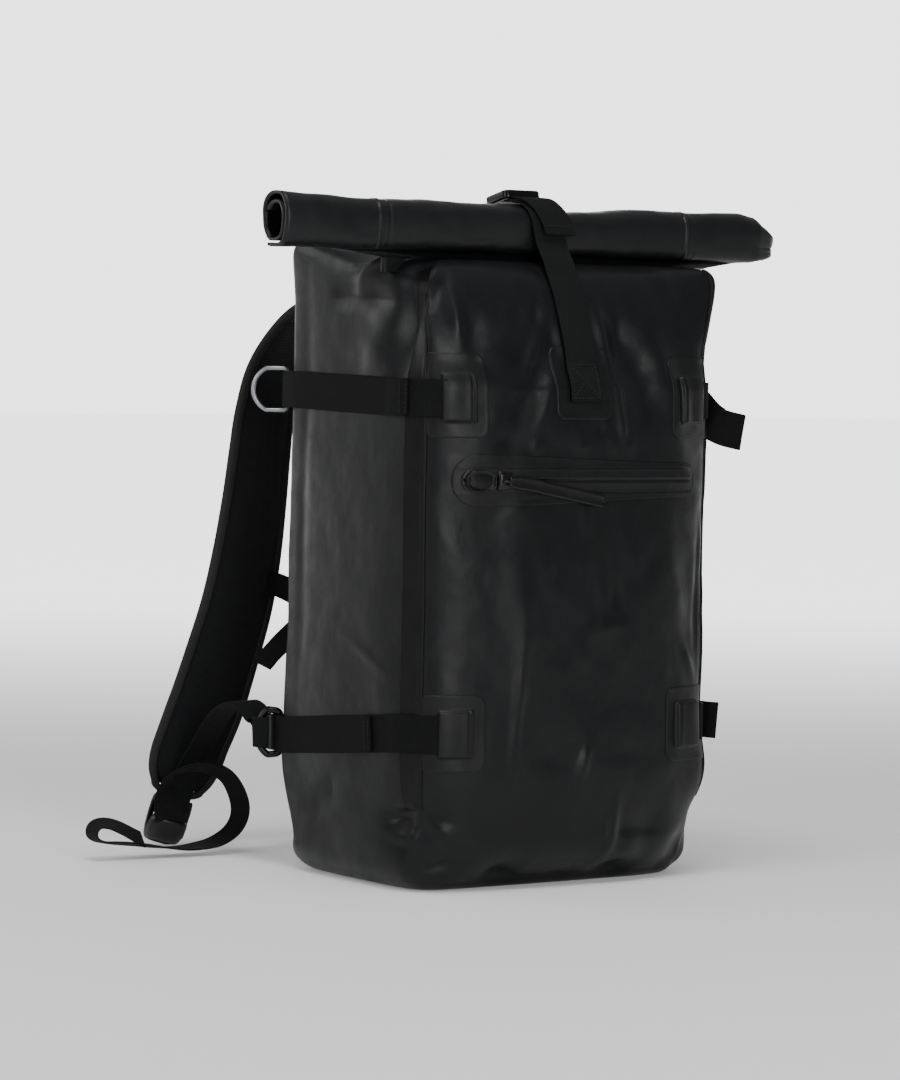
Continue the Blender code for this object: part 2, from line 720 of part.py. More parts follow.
# Zip on the front
def zip_sheet(name, x0, x1, r0, r1, off, thick, base, z=ZIP_Z):
    """Stadium between two round ends of different height, lying on the sack."""
    stations = []
    for deg in (90, 62, 34, 10):
        a = radians(deg)
        stations.append((x0 + r0 - r0 * sin(a), r0 * max(0.12, cos(a)) if deg < 90 else r0 * 0.2))
    for s in [c for c in columns if x0 + 0.95 * r0 < c < x1 - 0.95 * r1]:
        stations.append((s, lerp(r0, r1, ease((s - x0 - r0) / (x1 - r1 - x0 - r0)))))
    for deg in (10, 34, 62, 90):
        a = radians(deg)
        stations.append((x1 - r1 + r1 * sin(a), r1 * cos(a) if deg < 90 else r1 * 0.2))
    low, high = [], []
    for s, half_high in stations:
        hs = [-half_high, 0.0, half_high]
        low.append([facet(s, z + h, off) for h in hs])
        high.append([facet(s, z + h, off + thick) for h in hs])
    slab(name, low, high, base)


zip_sheet("zip_patch", -0.1190, 0.1195, 0.0205, 0.0140, 0.0007, 0.0009, "weld_tape")
zip_sheet("zip_tape", -0.1120, 0.1110, 0.0092, 0.0092, 0.0021, 0.0012, "zip_tape_cloth")
zip_sheet("zip_garage", -0.1095, -0.0835, 0.0080, 0.0080, 0.0038, 0.0022, "moulded_plastic")

tape_top = 0.0038
low = [[facet(s, ZIP_Z + h, tape_top) for h in (-0.0075, 0.0075)] for s in (-0.0828, -0.0705)]
high = [[facet(s, ZIP_Z + h * k, tape_top + 0.0030) for h in (-0.0060, 0.0060)]
        for s, k in ((-0.0823, 1.0), (-0.0725, 0.7))]
slab("zip_slider", low, high, "moulded_plastic")

pull_path = []
for s, z, off in ((-0.0692, 0.3238, 0.0050), (-0.0560, 0.3222, 0.0062), (-0.0400, 0.3190, 0.0060),
                  (-0.0240, 0.3160, 0.0056), (-0.0060, 0.3125, 0.0052), (0.0165, 0.3082, 0.0048)):
    pull_path.append(facet(s, z, off))
ribbon("zip_pull", pull_path, [Vector((0.2, 0, 1))] * len(pull_path), 0.0105, "moulded_plastic",
       0.0024)


# Closure: patch, strap up and over the roll, loose end on top, buckle, back strap
low, high = [], []
for z, cut in ((0.3730, 0.006), (0.3750, 0.002), (0.3790, 0.0), (0.3870, 0.0), (0.4040, 0.0),
               (SHOULDER_Z, 0.0), (SHOULDER_Z + 0.009, 0.002), (SHOULDER_Z + 0.011, 0.006)):
    ss = [-0.0275 + cut, -0.0240, 0.0, 0.0240, 0.0270 - cut]
    ss = [min(max(s, ss[0]), ss[-1]) + k * 1e-5 for k, s in enumerate(ss)]
    low.append([facet_at(s, z, 0.0007) for s in ss])
    high.append([facet_at(s, z, 0.0017) for s in ss])
slab("closure_patch", low, high, "weld_tape")

strap_off = 0.0023 + WEB_THIN / 2
closure_path = [facet_at(0.0, z, strap_off + more) for z, more in (
    (0.3870, 0.0), (0.4040, 0.0), (SHOULDER_Z, 0.0002), (0.4310, 0.0002),
    (0.4440, 0.0), (0.4600, -0.0006), (0.4750, -0.0006), (0.4870, 0.0002))]
closure_path += [Vector(p) for p in (
    (0.0000, -0.0835, 0.4980), (-0.0005, -0.0770, 0.5080), (-0.0015, -0.0730, 0.5180),
    (-0.0030, -0.0718, 0.5280), (-0.0055, -0.0692, 0.5385), (-0.0085, -0.0620, 0.5452),
    (-0.0110, -0.0532, 0.5474))]
X_WAY = Vector((1, 0, 0))
ribbon("closure_strap", closure_path, [X_WAY] * len(closure_path), WEB, square=False)

tail_path = [Vector(p) for p in (
    (0.0065, -0.0765, 0.5205), (0.0045, -0.0752, 0.5280), (0.0015, -0.0736, 0.5350),
    (-0.0025, -0.0702, 0.5422), (-0.0070, -0.0632, 0.5486), (-0.0110, -0.0542, 0.5504))]
ribbon("closure_tail", tail_path, [X_WAY] * len(tail_path), WEB, thick=0.0018, square=False)

# The buckle lies on the back of the roll and tips backwards with it
tip = radians(-12)
plate("closure_buckle", round_box(0.0340, 0.0290, 0.0030),
      [[(x, y + 0.0075) for x, y in round_box(0.0270, 0.0048, 0.0010, 1)],
       [(x, y - 0.0060) for x, y in round_box(0.0270, 0.0048, 0.0010, 1)]],
      0.0036, 0.0010, (-0.0110, -0.0335, 0.5505), (1, 0, 0), (0, cos(tip), sin(tip)),
      "moulded_plastic")

back_path = [Vector((-0.0110, -0.0162, 0.5465)), Vector((-0.0080, 0.0100, 0.5385)),
             Vector((-0.0030, 0.0500, 0.5170)), Vector((0.0, 0.0810, 0.4990)),
             Vector((0.0, 0.0925, 0.4890))]
for v, off in ((SHOULDER_Z + 0.033, 0.0028), (SHOULDER_Z + 0.016, 0.0020), (SHOULDER_Z, 0.0018)):
    back_path.append(facet(S_END, v, off))
ribbon("closure_strap_back", back_path, [X_WAY] * len(back_path), WEB)


# Back panel pad
PAD_ROWS = [
    # height, half width as a share of the body's width, stand out
    (0.0420, 0.336, 0.004), (0.0480, 0.413, 0.010), (0.0620, 0.451, 0.014),
    (0.0850, 0.437, 0.015), (0.1300, 0.392, 0.014), (0.2000, 0.371, 0.013),
    (0.2800, 0.364, 0.014), (0.3600, 0.357, 0.015), (0.3980, 0.343, 0.013),
    (0.4140, 0.301, 0.009), (0.4190, 0.245, 0.004),
]
low, high = [], []
for z in with_lines([row[0] for row in PAD_ROWS], levels, 0.0030):
    half_w = BODY_WIDTH * straight([(row[0], row[1]) for row in PAD_ROWS], z)
    out = straight([(row[0], row[2]) for row in PAD_ROWS], z)
    row_low, row_high = [], []
    for u in (-1.0, -0.93, -0.72, -0.36, 0.0, 0.36, 0.72, 0.93, 1.0):
        s = (S_END - half_w * abs(u)) * (1 if u >= 0 else -1)
        soft = {0.0: 0.80, 0.36: 1.0, 0.72: 1.0, 0.93: 0.72, 1.0: 0.25}[abs(u)]
        row_low.append(facet_at(s, z, 0.0009))
        row_high.append(facet_at(s, z, 0.0009 + max(0.002, out * soft)))
    low.append(row_low)
    high.append(row_high)
slab("back_pad", low, high, "air_mesh")


# Shoulder straps: path of the left one from its sewn top end to its foot, with
# the turn of its face about the vertical
STRAP_PATH = [
    # x,      y,     z,     turn
    (-0.0560, 0.1062, 0.4330, 0),
    (-0.0590, 0.1118, 0.4480, 2),
    (-0.0645, 0.1245, 0.4605, 8),
    (-0.0695, 0.1460, 0.4650, 13),
    (-0.0770, 0.1760, 0.4490, 16),
    (-0.0850, 0.2060, 0.4150, 16),
    (-0.0905, 0.2170, 0.3760, 15),
    (-0.0955, 0.2175, 0.3370, 13),
    (-0.1005, 0.2170, 0.2970, 10),
    (-0.1070, 0.2175, 0.2520, 5),
    (-0.1145, 0.2205, 0.2090, 0),
    (-0.1225, 0.2300, 0.1660, -5),
    (-0.1310, 0.2430, 0.1200, -10),
    (-0.1400, 0.2550, 0.0820, -15),
    (-0.1475, 0.2615, 0.0500, -16),
]


def strap_frames(side):
    path = [Vector((-side * x, y, z)) for x, y, z, turn in STRAP_PATH]
    tans = tangents(path)
    frames = []
    for p, t, (_, _, _, turn) in zip(path, tans, STRAP_PATH):
        across = square_to((cos(radians(turn)), -side * sin(radians(turn)), 0), t)
        frames.append((p, t, across, t.cross(across).normalized()))
    return frames


def pad_half(i):
    """Half width of the padded strap at each station, rounded at its foot."""
    table = {0: 0.80, 1: 0.88, 2: 0.94, 13: 0.94, 14: 0.72}
    return PAD_WIDE / 2 * table.get(i, 1.0)


def shoulder_pad(name, side):
    rings = []
    for i, (p, t, a, n) in enumerate(strap_frames(side)):
        hw, ht = pad_half(i), PAD_THICK / 2 * (0.7 if i in (0, 14) else 1.0)
        rings.append([p + a * (hw * u) + n * (ht * v) for u, v in (
            (1.0, 0.35), (0.80, 1.0), (0.0, 1.05), (-0.80, 1.0), (-1.0, 0.35),
            (-1.0, -0.35), (-0.80, -1.0), (0.0, -1.05), (0.80, -1.0), (1.0, -0.35))])
    loft(name, rings, "air_mesh")


def strap_binding(name, side):
    frames = strap_frames(side)
    gap = 0.0031
    left = [p + a * (pad_half(i) + gap) for i, (p, t, a, n) in enumerate(frames)]
    right = [p - a * (pad_half(i) + gap) for i, (p, t, a, n) in enumerate(frames)]
    p, t, a, n = frames[-1]
    hw = pad_half(14) + gap
    foot = [p + t * (0.0060 * cos(radians(d))) * 0.9 + a * (hw * sin(radians(d)))
            for d in (72, 40, 0, -40, -72)]
    pts = left[1:] + foot + list(reversed(right[1:]))
    curve = bpy.data.curves.new(name, "CURVE")
    curve.dimensions = "3D"
    curve.bevel_depth = 0.0022
    curve.bevel_resolution = 0
    curve.use_fill_caps = True
    spline = curve.splines.new("POLY")
    spline.points.add(len(pts) - 1)
    for point, q in zip(spline.points, pts):
        point.co = (*q, 1.0)
    place(name, curve, "edge_binding")


for side, word in ((-1, "left"), (1, "right")):
    shoulder_pad("shoulder_pad_" + word, side)
    strap_binding("shoulder_binding_" + word, side)


# Flat anchors that hold the strap tops to the back
for side, word in ((-1, "left"), (1, "right")):
    low, high = [], []
    for z in (0.4255, 0.4390, 0.4560):
        s_mid = side * (S_END - 0.057)
        ss = [s_mid - 0.030, side * (S_BACK + 0.062), s_mid + 0.030]
        low.append([facet_at(s, z, 0.0009) for s in ss])
        high.append([facet_at(s, z, 0.0025) for s in ss])
    slab("strap_anchor_" + word, low, high, "webbing")


# Ladder locks at the strap feet, the tabs that hold them and the adjuster webbing
LOCK_DROP = 0.0105


def lock_frame(side):
    p, t, a, n = strap_frames(side)[-1]
    front = n if n.y < 0 else -n
    return p + t * LOCK_DROP, t, a, front


def lock_point(side, along, out, across=0.0):
    o, t, a, f = lock_frame(side)
    return o + t * along + f * out + a * across


for side, word in ((-1, "left"), (1, "right")):
    o, t, a, f = lock_frame(side)
    outline = [(-0.0170, 0.0), (0.0170, 0.0), (0.0178, 0.0120), (0.0172, 0.0280),
               (0.0150, 0.0360), (0.0100, 0.0395), (-0.0100, 0.0395), (-0.0150, 0.0360),
               (-0.0172, 0.0280), (-0.0178, 0.0120)]
    holes = [[(x, y + c) for x, y in round_box(0.0290, 0.0058, 0.0012, 1)]
             for c in (0.0070, 0.0172, 0.0275)]
    plate("ladder_lock_" + word, outline, holes, 0.0026, 0.0007, o, a, t, "moulded_plastic")
    tab = [lock_point(side, x, y) for x, y in (
        (-0.0160, -0.0053), (-0.0050, -0.0051), (0.0022, -0.0043), (0.0058, -0.0039),
        (0.0071, 0.0000), (0.0058, 0.0041), (0.0010, 0.0047), (-0.0025, 0.0047))]
    ribbon("lock_tab_" + word, tab, [a] * len(tab), 0.0260)


# Adjuster webbing of the left side: from the moulded loop over an arch, through
# the lock and on to the loose end with its sewn loop.  x, y, z in metres and the
# lean of its width towards the viewer's line of sight.
RING_TURN = [
    # outward from the ring bar, back from the ring's plane
    (0.0092, -0.0042), (0.0140, -0.0046), (0.0190, -0.0046), (0.0217, -0.0038),
    (0.0234, -0.0016), (0.0235, 0.0012), (0.0222, 0.0046), (0.0195, 0.0080),
]
ARCH = [
    # x,      y,     z,     width along x, along y, along z
    (-0.1470, 0.1290, 0.1190, 0.7, 0.2, 0.7), (-0.1460, 0.1370, 0.1260, 0.95, 0.1, 0.3),
    (-0.1480, 0.1500, 0.1325, 1, 0, 0), (-0.1480, 0.1690, 0.1290, 1, 0, 0),
    (-0.1455, 0.1920, 0.1190, 1, 0, 0), (-0.1430, 0.2140, 0.1030, 1, 0, 0),
    (-0.1430, 0.2340, 0.0830, 1, 0, 0), (-0.1460, 0.2460, 0.0650, 1, 0, 0),
]
TAIL = [
    # x,      y,     z,     how far the width opens from the line of sight, degrees
    (-0.1690, 0.2440, 0.0390, 50), (-0.1740, 0.2390, 0.0520, 22), (-0.1700, 0.2330, 0.0635, 10),
    (-0.1570, 0.2270, 0.0695, 18), (-0.1420, 0.2220, 0.0705, 28), (-0.1280, 0.2140, 0.0640, 38),
    (-0.1205, 0.2070, 0.0490, 43), (-0.1205, 0.2010, 0.0330, 42), (-0.1300, 0.1970, 0.0195, 34),
    (-0.1470, 0.1950, 0.0105, 22), (-0.1640, 0.1950, 0.0074, 10), (-0.1810, 0.1955, 0.0064, 0),
    (-0.2000, 0.1980, 0.0080, -10), (-0.2190, 0.2000, 0.0110, -14), (-0.2430, 0.2010, 0.0140, -15),
    (-0.2580, 0.2010, 0.0165, -16), (-0.2640, 0.2010, 0.0220, -18), (-0.2610, 0.2010, 0.0290, -18),
    (-0.2510, 0.2000, 0.0305, -16), (-0.2370, 0.1990, 0.0260, -14), (-0.2250, 0.1980, 0.0195, -14),
    (-0.2170, 0.1975, 0.0155, -14),
]
SIGHT = Vector((0.56, 0.83, 0.0))   # the loose end lies nearly edge on to this line


def adjuster(name, side):
    flip = -side
    c = bar_centre(side, LOWER_BACK_Z)
    away = Vector((side * cos(radians(34)), sin(radians(34)), 0))
    behind = Vector((-side * sin(radians(34)), cos(radians(34)), 0))
    start = [c + away * e + behind * q for e, q in RING_TURN]
    arch = [Vector((flip * x, y, z)) for x, y, z, _, _, _ in ARCH]
    through = [lock_point(side, x, y) for x, y in (
        (0.0150, 0.0060), (0.0168, 0.0016), (0.0174, -0.0034), (0.0196, -0.0056),
        (0.0248, -0.0056), (0.0270, -0.0034), (0.0278, 0.0016), (0.0284, 0.0056),
        (0.0270, 0.0098), (0.0190, 0.0128))]
    tail = [Vector((flip * x, y, z)) for x, y, z, _ in TAIL]
    path = start + arch + through + tail
    _, _, a, _ = lock_frame(side)
    sight = Vector((flip * SIGHT.x, SIGHT.y, 0))
    across = [Vector((0, 0, 1))] * len(start)
    across += [Vector((flip * wx, wy, wz)) for _, _, _, wx, wy, wz in ARCH]
    across += [a if a.x * flip > 0 else -a] * len(through)
    tans = tangents(tail)
    for t, (_, _, _, opening) in zip(tans, TAIL):
        straight = square_to(sight, t)
        outward = straight.cross(t) * (1 if side < 0 else -1)
        k = radians(opening)
        across.append(straight * cos(k) + outward * sin(k))
    for i in range(1, len(across)):
        if across[i].dot(across[i - 1]) < 0:
            across[i] = -across[i]
    ribbon(name, path, across, LOOP_WEB, thick=0.0014)


for side, word in ((-1, "left"), (1, "right")):
    adjuster("adjuster_webbing_" + word, side)


# Sternum strap: a short webbing from each shoulder strap to a buckle between them
def sternum_half(name, side):
    path = [(side * x, y, z) for x, y, z in (
        (0.0930, 0.2134, 0.2280), (0.0790, 0.2105, 0.2250), (0.0600, 0.1950, 0.2140),
        (0.0400, 0.1830, 0.2070), (0.0245, 0.1805, 0.2050))]
    path = [Vector(p) for p in path]
    ribbon(name, path, [Vector((0, 0, 1))] * len(path), 0.020)


for side, word in ((-1, "left"), (1, "right")):
    sternum_half("sternum_strap_" + word, side)
plate("sternum_buckle", round_box(0.0440, 0.0250, 0.0040), [], 0.0040, 0.0010,
      (0.0, 0.1805, 0.2050), (1, 0, 0), (0, 0, 1), "moulded_plastic")
tail = [Vector(p) for p in ((-0.0180, 0.1748, 0.2030), (-0.0450, 0.1735, 0.2040),
                            (-0.0740, 0.1690, 0.1975), (-0.0970, 0.1640, 0.1850),
                            (-0.1130, 0.1610, 0.1735), (-0.1260, 0.1600, 0.1620))]
ribbon("sternum_tail", tail, [Vector((0, w, 1)) for w in (0.0, 0.3, 0.8, 1.2, 1.4, 1.4)], 0.020)
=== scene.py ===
"""Looks of the rolltop backpack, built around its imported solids.

Metres, with the longer tables in millimetres and degrees.  +X is the bag's right as
seen from the front, +Y runs from front to back, +Z is up.  Every soft surface is worked
out again here at a finer step, from the named sizes of the solids, with the small folds
and the stitching that they leave out.
"""
from math import cos, pi, radians, sin, sqrt

import bpy
import numpy as np
from mathutils import Matrix, Vector, noise


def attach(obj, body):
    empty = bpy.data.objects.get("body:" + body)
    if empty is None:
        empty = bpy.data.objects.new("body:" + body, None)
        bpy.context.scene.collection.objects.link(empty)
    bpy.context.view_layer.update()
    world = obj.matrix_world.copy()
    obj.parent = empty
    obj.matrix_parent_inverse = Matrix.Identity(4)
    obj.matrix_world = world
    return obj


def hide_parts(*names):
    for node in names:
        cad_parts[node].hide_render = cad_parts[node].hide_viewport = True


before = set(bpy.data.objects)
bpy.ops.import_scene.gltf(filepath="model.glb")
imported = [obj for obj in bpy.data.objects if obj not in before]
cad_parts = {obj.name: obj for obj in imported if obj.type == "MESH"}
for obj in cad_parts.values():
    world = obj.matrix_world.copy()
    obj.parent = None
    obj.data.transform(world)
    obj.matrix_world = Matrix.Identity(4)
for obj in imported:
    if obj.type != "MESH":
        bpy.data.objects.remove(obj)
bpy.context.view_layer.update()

# Sack
BODY_WIDTH = 0.286        # across the two side panels
FRONT_Y = -0.095          # line of the two front corner seams
BACK_Y = 0.103            # back panel
STRIP_X = 0.006           # welded corner strip, share of it across the front
STRIP_Y = 0.015           # and along the side
BACK_RADIUS = 0.018       # rounding of the two back corners
BASE_RADIUS = 0.021       # rounding between the walls and the flat base
FRONT_BULGE = 0.029       # how far the front panel stands out between its seams
SIDE_BULGE = 0.006
SHOULDER_Z = 0.420        # where the panels start to close towards the neck
TOP_RUN = 0.10            # levels above the shoulder run over to the neck
FRONT_CREST_Z = 0.4975    # top edge of the front panel
SIDE_CREST_Z = 0.4940     # fold across the top of each side panel
BACK_CREST_Z = 0.4960
CORNER_CREST_Z = 0.5165   # the two back corners stand highest
NECK_Z = 0.4995           # flattened tube below the roll
MOUTH_Z = 0.5037
NECK_HALF = 0.150         # half the length of the flattened tube
NECK_RIGHT = 1.17         # the right half stays wider up to the roll
NECK_THICK = 0.0095
NECK_Y = -0.050

# Roll
ROLL_LEFT = -0.2465
ROLL_RIGHT = 0.2360
ROLL_Z = 0.5248
ROLL_HEIGHT = 0.0412
ROLL_DEPTH = 0.0380
ROLL_WALL = 0.0024

# Webbing
WEB = 0.030
WEB_THIN = 0.0016
UPPER_Z = 0.3890          # centre line of the upper side straps
LOWER_Z = 0.1260
UPPER_BACK_Z = 0.3935     # the upper straps rise a little towards the back
LOWER_BACK_Z = 0.1100     # the lower ones sag

# Zip
ZIP_Z = 0.3250

# Shoulder strap
PAD_WIDE = 0.062
PAD_THICK = 0.010
LOOP_WEB = 0.025          # adjuster webbing

SIDES = ((-1, "left"), (1, "right"))
UP = Vector((0, 0, 1))
RIGHT = Vector((1, 0, 0))
FORWARD = Vector((0, -1, 0))
SIGHT = Vector((0.56, 0.83, 0.0))   # level line of sight of the photograph
SUNK = -0.0006                      # borders of flat skins are let into the cloth

# Ring zones along the half girth, from the middle of the front
S_SEAM = BODY_WIDTH / 2 - STRIP_X
S_SIDE = S_SEAM + sqrt(STRIP_X ** 2 + STRIP_Y ** 2)
S_ARC = S_SIDE + BACK_Y - FRONT_Y - STRIP_Y - BACK_RADIUS
S_BACK = S_ARC + BACK_RADIUS * pi / 2
S_END = S_BACK + BODY_WIDTH / 2 - BACK_RADIUS
S_TIP = S_SIDE + (S_ARC - S_SIDE) * 0.46   # column that ends in the tip of the neck


def clamp(x, low=0.0, high=1.0):
    return max(low, min(high, x))


def ease(x):
    x = clamp(x)
    return x * x * (3 - 2 * x)


def lerp(a, b, t):
    return a + (b - a) * t


def metres(rows, keep=()):
    """Rows of millimetres in metres, apart from the columns to keep."""
    return [tuple(x if k in keep else x / 1000 for k, x in enumerate(row)) for row in rows]


def keyed(rows, x):
    """Value of a short table of (x, value) rows, eased between them."""
    if x <= rows[0][0]:
        return rows[0][1]
    for (x0, v0), (x1, v1) in zip(rows, rows[1:]):
        if x <= x1:
            return lerp(v0, v1, ease((x - x0) / (x1 - x0)))
    return rows[-1][1]


def hump(x, wide):
    """Bell curve, 1 at 0."""
    return 2.718281828 ** -(x / wide) ** 2


def signed_power(x, power):
    return (abs(x) ** power) * (1 if x > 0 else -1)


def corner_cut(edge, r):
    """How far a corner of radius r draws in at a distance from the straight edge."""
    return r - sqrt(max(0.0, r * r - (r - edge) ** 2)) if edge < r else 0.0


# Girth of the sack at any height
def girth(s):
    """Plain outline at signed distance s from the middle of the front."""
    a, side = abs(s), (1 if s >= 0 else -1)
    hw = BODY_WIDTH / 2
    if a <= S_SEAM:
        x, y = a, FRONT_Y
    elif a <= S_SIDE:
        t = (a - S_SEAM) / (S_SIDE - S_SEAM)
        x, y = S_SEAM + STRIP_X * t, FRONT_Y + STRIP_Y * t
    elif a <= S_ARC:
        x, y = hw, FRONT_Y + STRIP_Y + (a - S_SIDE)
    elif a <= S_BACK:
        t = (a - S_ARC) / BACK_RADIUS
        x = hw - BACK_RADIUS + BACK_RADIUS * cos(t)
        y = BACK_Y - BACK_RADIUS + BACK_RADIUS * sin(t)
    else:
        x, y = hw - BACK_RADIUS - (a - S_BACK), BACK_Y
    return side * x, y


# Share of the bulge, or metres for the back, at rising heights
FRONT_SWELL = [(0.0, 0.35), (0.04, 0.80), (0.10, 1.0), (0.36, 1.0), (0.395, 0.92), (0.42, 0.62)]
SIDE_SWELL = [(0.0, 0.4), (0.08, 1.0), (0.30, 0.8), (0.42, 0.35)]
BACK_SWELL = [(0.0, 0.0025), (0.12, 0.0045), (0.22, 0.0010), (0.30, 0.0), (0.42, -0.0050)]


def wall(s, z):
    a, side = abs(s), (1 if s >= 0 else -1)
    x, y = girth(s)
    if a < S_SEAM:
        y -= FRONT_BULGE * (1 - (a / S_SEAM) ** 3) ** 0.6 * keyed(FRONT_SWELL, z)
    elif S_SIDE < a < S_ARC:
        u = (a - S_SIDE) / (S_ARC - S_SIDE)
        x += side * SIDE_BULGE * 4 * u * (1 - u) * keyed(SIDE_SWELL, z)
    if a > S_SIDE:
        y += keyed(BACK_SWELL, z) * ease((a - S_SIDE) / (S_ARC - S_SIDE))
    if z < BASE_RADIUS:
        inset = BASE_RADIUS - sqrt(max(0.0, BASE_RADIUS ** 2 - (BASE_RADIUS - z) ** 2))
        x *= 1 - inset / (BODY_WIDTH / 2)
        y *= 1 - inset / (0.5 * (BACK_Y - FRONT_Y) + 0.010)
    return Vector((x, y, z))


def neck(s):
    """Flattened tube under the roll, a long thin stadium."""
    a, side = abs(s), (1 if s >= 0 else -1)
    r = NECK_THICK / 2
    d = abs(a - S_TIP)
    face = -1 if a < S_TIP else 1
    if d < r * pi / 2:
        x, y = NECK_HALF - r + r * cos(d / r), face * r * sin(d / r)
    else:
        most = (S_TIP if face < 0 else S_END - S_TIP) - r * pi / 2
        x, y = (NECK_HALF - r) * (1 - (d - r * pi / 2) / most), face * r
    x *= NECK_RIGHT if side > 0 else 1.0
    return Vector((side * x, NECK_Y + y, NECK_Z))


def crest(s):
    a = abs(s)
    if a < S_SEAM:
        return FRONT_CREST_Z
    if a < S_SIDE:
        return lerp(FRONT_CREST_Z, SIDE_CREST_Z, ease((a - S_SEAM) / (S_SIDE - S_SEAM)))
    if a < S_ARC:
        start = S_TIP + 0.026
        return lerp(SIDE_CREST_Z, CORNER_CREST_Z, clamp((a - start) / (S_ARC - start)))
    return lerp(CORNER_CREST_Z, BACK_CREST_Z, ease((a - S_BACK) / 0.06))


def lean(s, up):
    """How far each panel leans at a share of its height above the shoulder."""
    a, side = abs(s), (1 if s >= 0 else -1)
    wide = 0.020 if side > 0 else 0.001          # the right side flares out more
    late = clamp((up - 0.12) / 0.88)
    if a < S_SEAM:
        inner = (1 - (a / S_SEAM) ** 2) ** 0.6
        return Vector((0.9 * wide * (a / S_SEAM) ** 3 * late, 0.021 * inner * up, 0))
    if a < S_TIP:
        return Vector((wide * late, 0, 0))
    corner = ease((a - S_TIP) / (S_ARC - S_TIP)) * (1 - ease((a - S_BACK) / 0.05))
    flare = wide * (1 - ease((a - S_TIP) / (S_ARC - S_TIP)))
    return Vector((side * 0.0030 * corner * late ** 2 + flare * late,
                   0.0050 * corner * late ** 2, 0))


# How squarely the panels turn over at the top, along the half girth of each side
BACK_SQUARE = [(S_ARC, 15.0), (S_BACK, 15.0), (S_END, 6.0)]
SQUARE = {
    -1: [(0.0, 3.2), (0.10, 3.2), (S_SEAM, 3.2), (S_TIP, 3.6)] + BACK_SQUARE,
    1: [(0.0, 3.2), (0.10, 3.6), (S_SEAM, 7.0), (S_TIP, 7.0)] + BACK_SQUARE,
}


def plain(s, v):
    """v is the height up to the shoulder, then the run over to the neck."""
    if v <= SHOULDER_Z:
        return wall(s, v)
    power = 2 / keyed(SQUARE[1 if s >= 0 else -1], abs(s))
    phi = min(1.0, (v - SHOULDER_Z) / TOP_RUN) * pi / 2
    h = 1 - max(0.0, cos(phi)) ** power
    up = sin(phi) ** power
    low, high = wall(s, SHOULDER_Z) + lean(s, up), neck(s)
    point = low.lerp(high, h)
    top = crest(s)
    point.z = SHOULDER_Z + (top - SHOULDER_Z) * up + (NECK_Z - top) * h * h
    return point


# Dents and folds of the filled sack: place along the girth, height, reach each
# way, lean of the long axis in degrees and depth (below zero stands out)
DENTS = metres([
    # s,      v,     reach_s, reach_v, lean, depth
    (-150, 52, 24, 16, 0, 7), (150, 52, 24, 17, 0, 6), (126, 18, 22, 24, 0, 12),
    (-61, 6, 18, 18, 0, 7.5), (0, 4, 80, 14, 0, 6), (57, 6, 16, 14, 0, 5.5),
    (-123, 22, 18, 16, 0, 3), (-128, 444, 20, 26, -20, 4), (-185, 448, 30, 18, 0, 3),
    (110, 440, 26, 26, 20, 3), (-46, 405, 18, 40, -25, 3), (56, 405, 22, 40, 20, 3),
    (-60, 215, 16, 80, 0, -2), (30, 160, 40, 30, -35, 2), (112, 240, 14, 50, 10, 2),
    (145, 85, 18, 34, 0, -8.5), (145, 200, 16, 60, 0, -3.5), (145, 350, 16, 50, 0, -4),
    (-335, 26, 24, 20, 0, 4.5), (-330, 80, 24, 30, 0, -3),
], keep=(4,))


def pressed(table, s, z, most, near_s=9.0, near_z=9.0):
    """Depth of all dents of a table at a place."""
    total = 0.0
    for s0, z0, reach_s, reach_z, tilt, depth in table:
        ds, dz = s - s0, z - z0
        if abs(ds) > near_s or abs(dz) > near_z:
            continue
        c, n = cos(radians(tilt)), sin(radians(tilt))
        u, w = (ds * c + dz * n) / reach_s, (dz * c - ds * n) / reach_z
        e = u * u + w * w
        if e < most:
            total += depth * (2.718281828 ** -e)
    return total


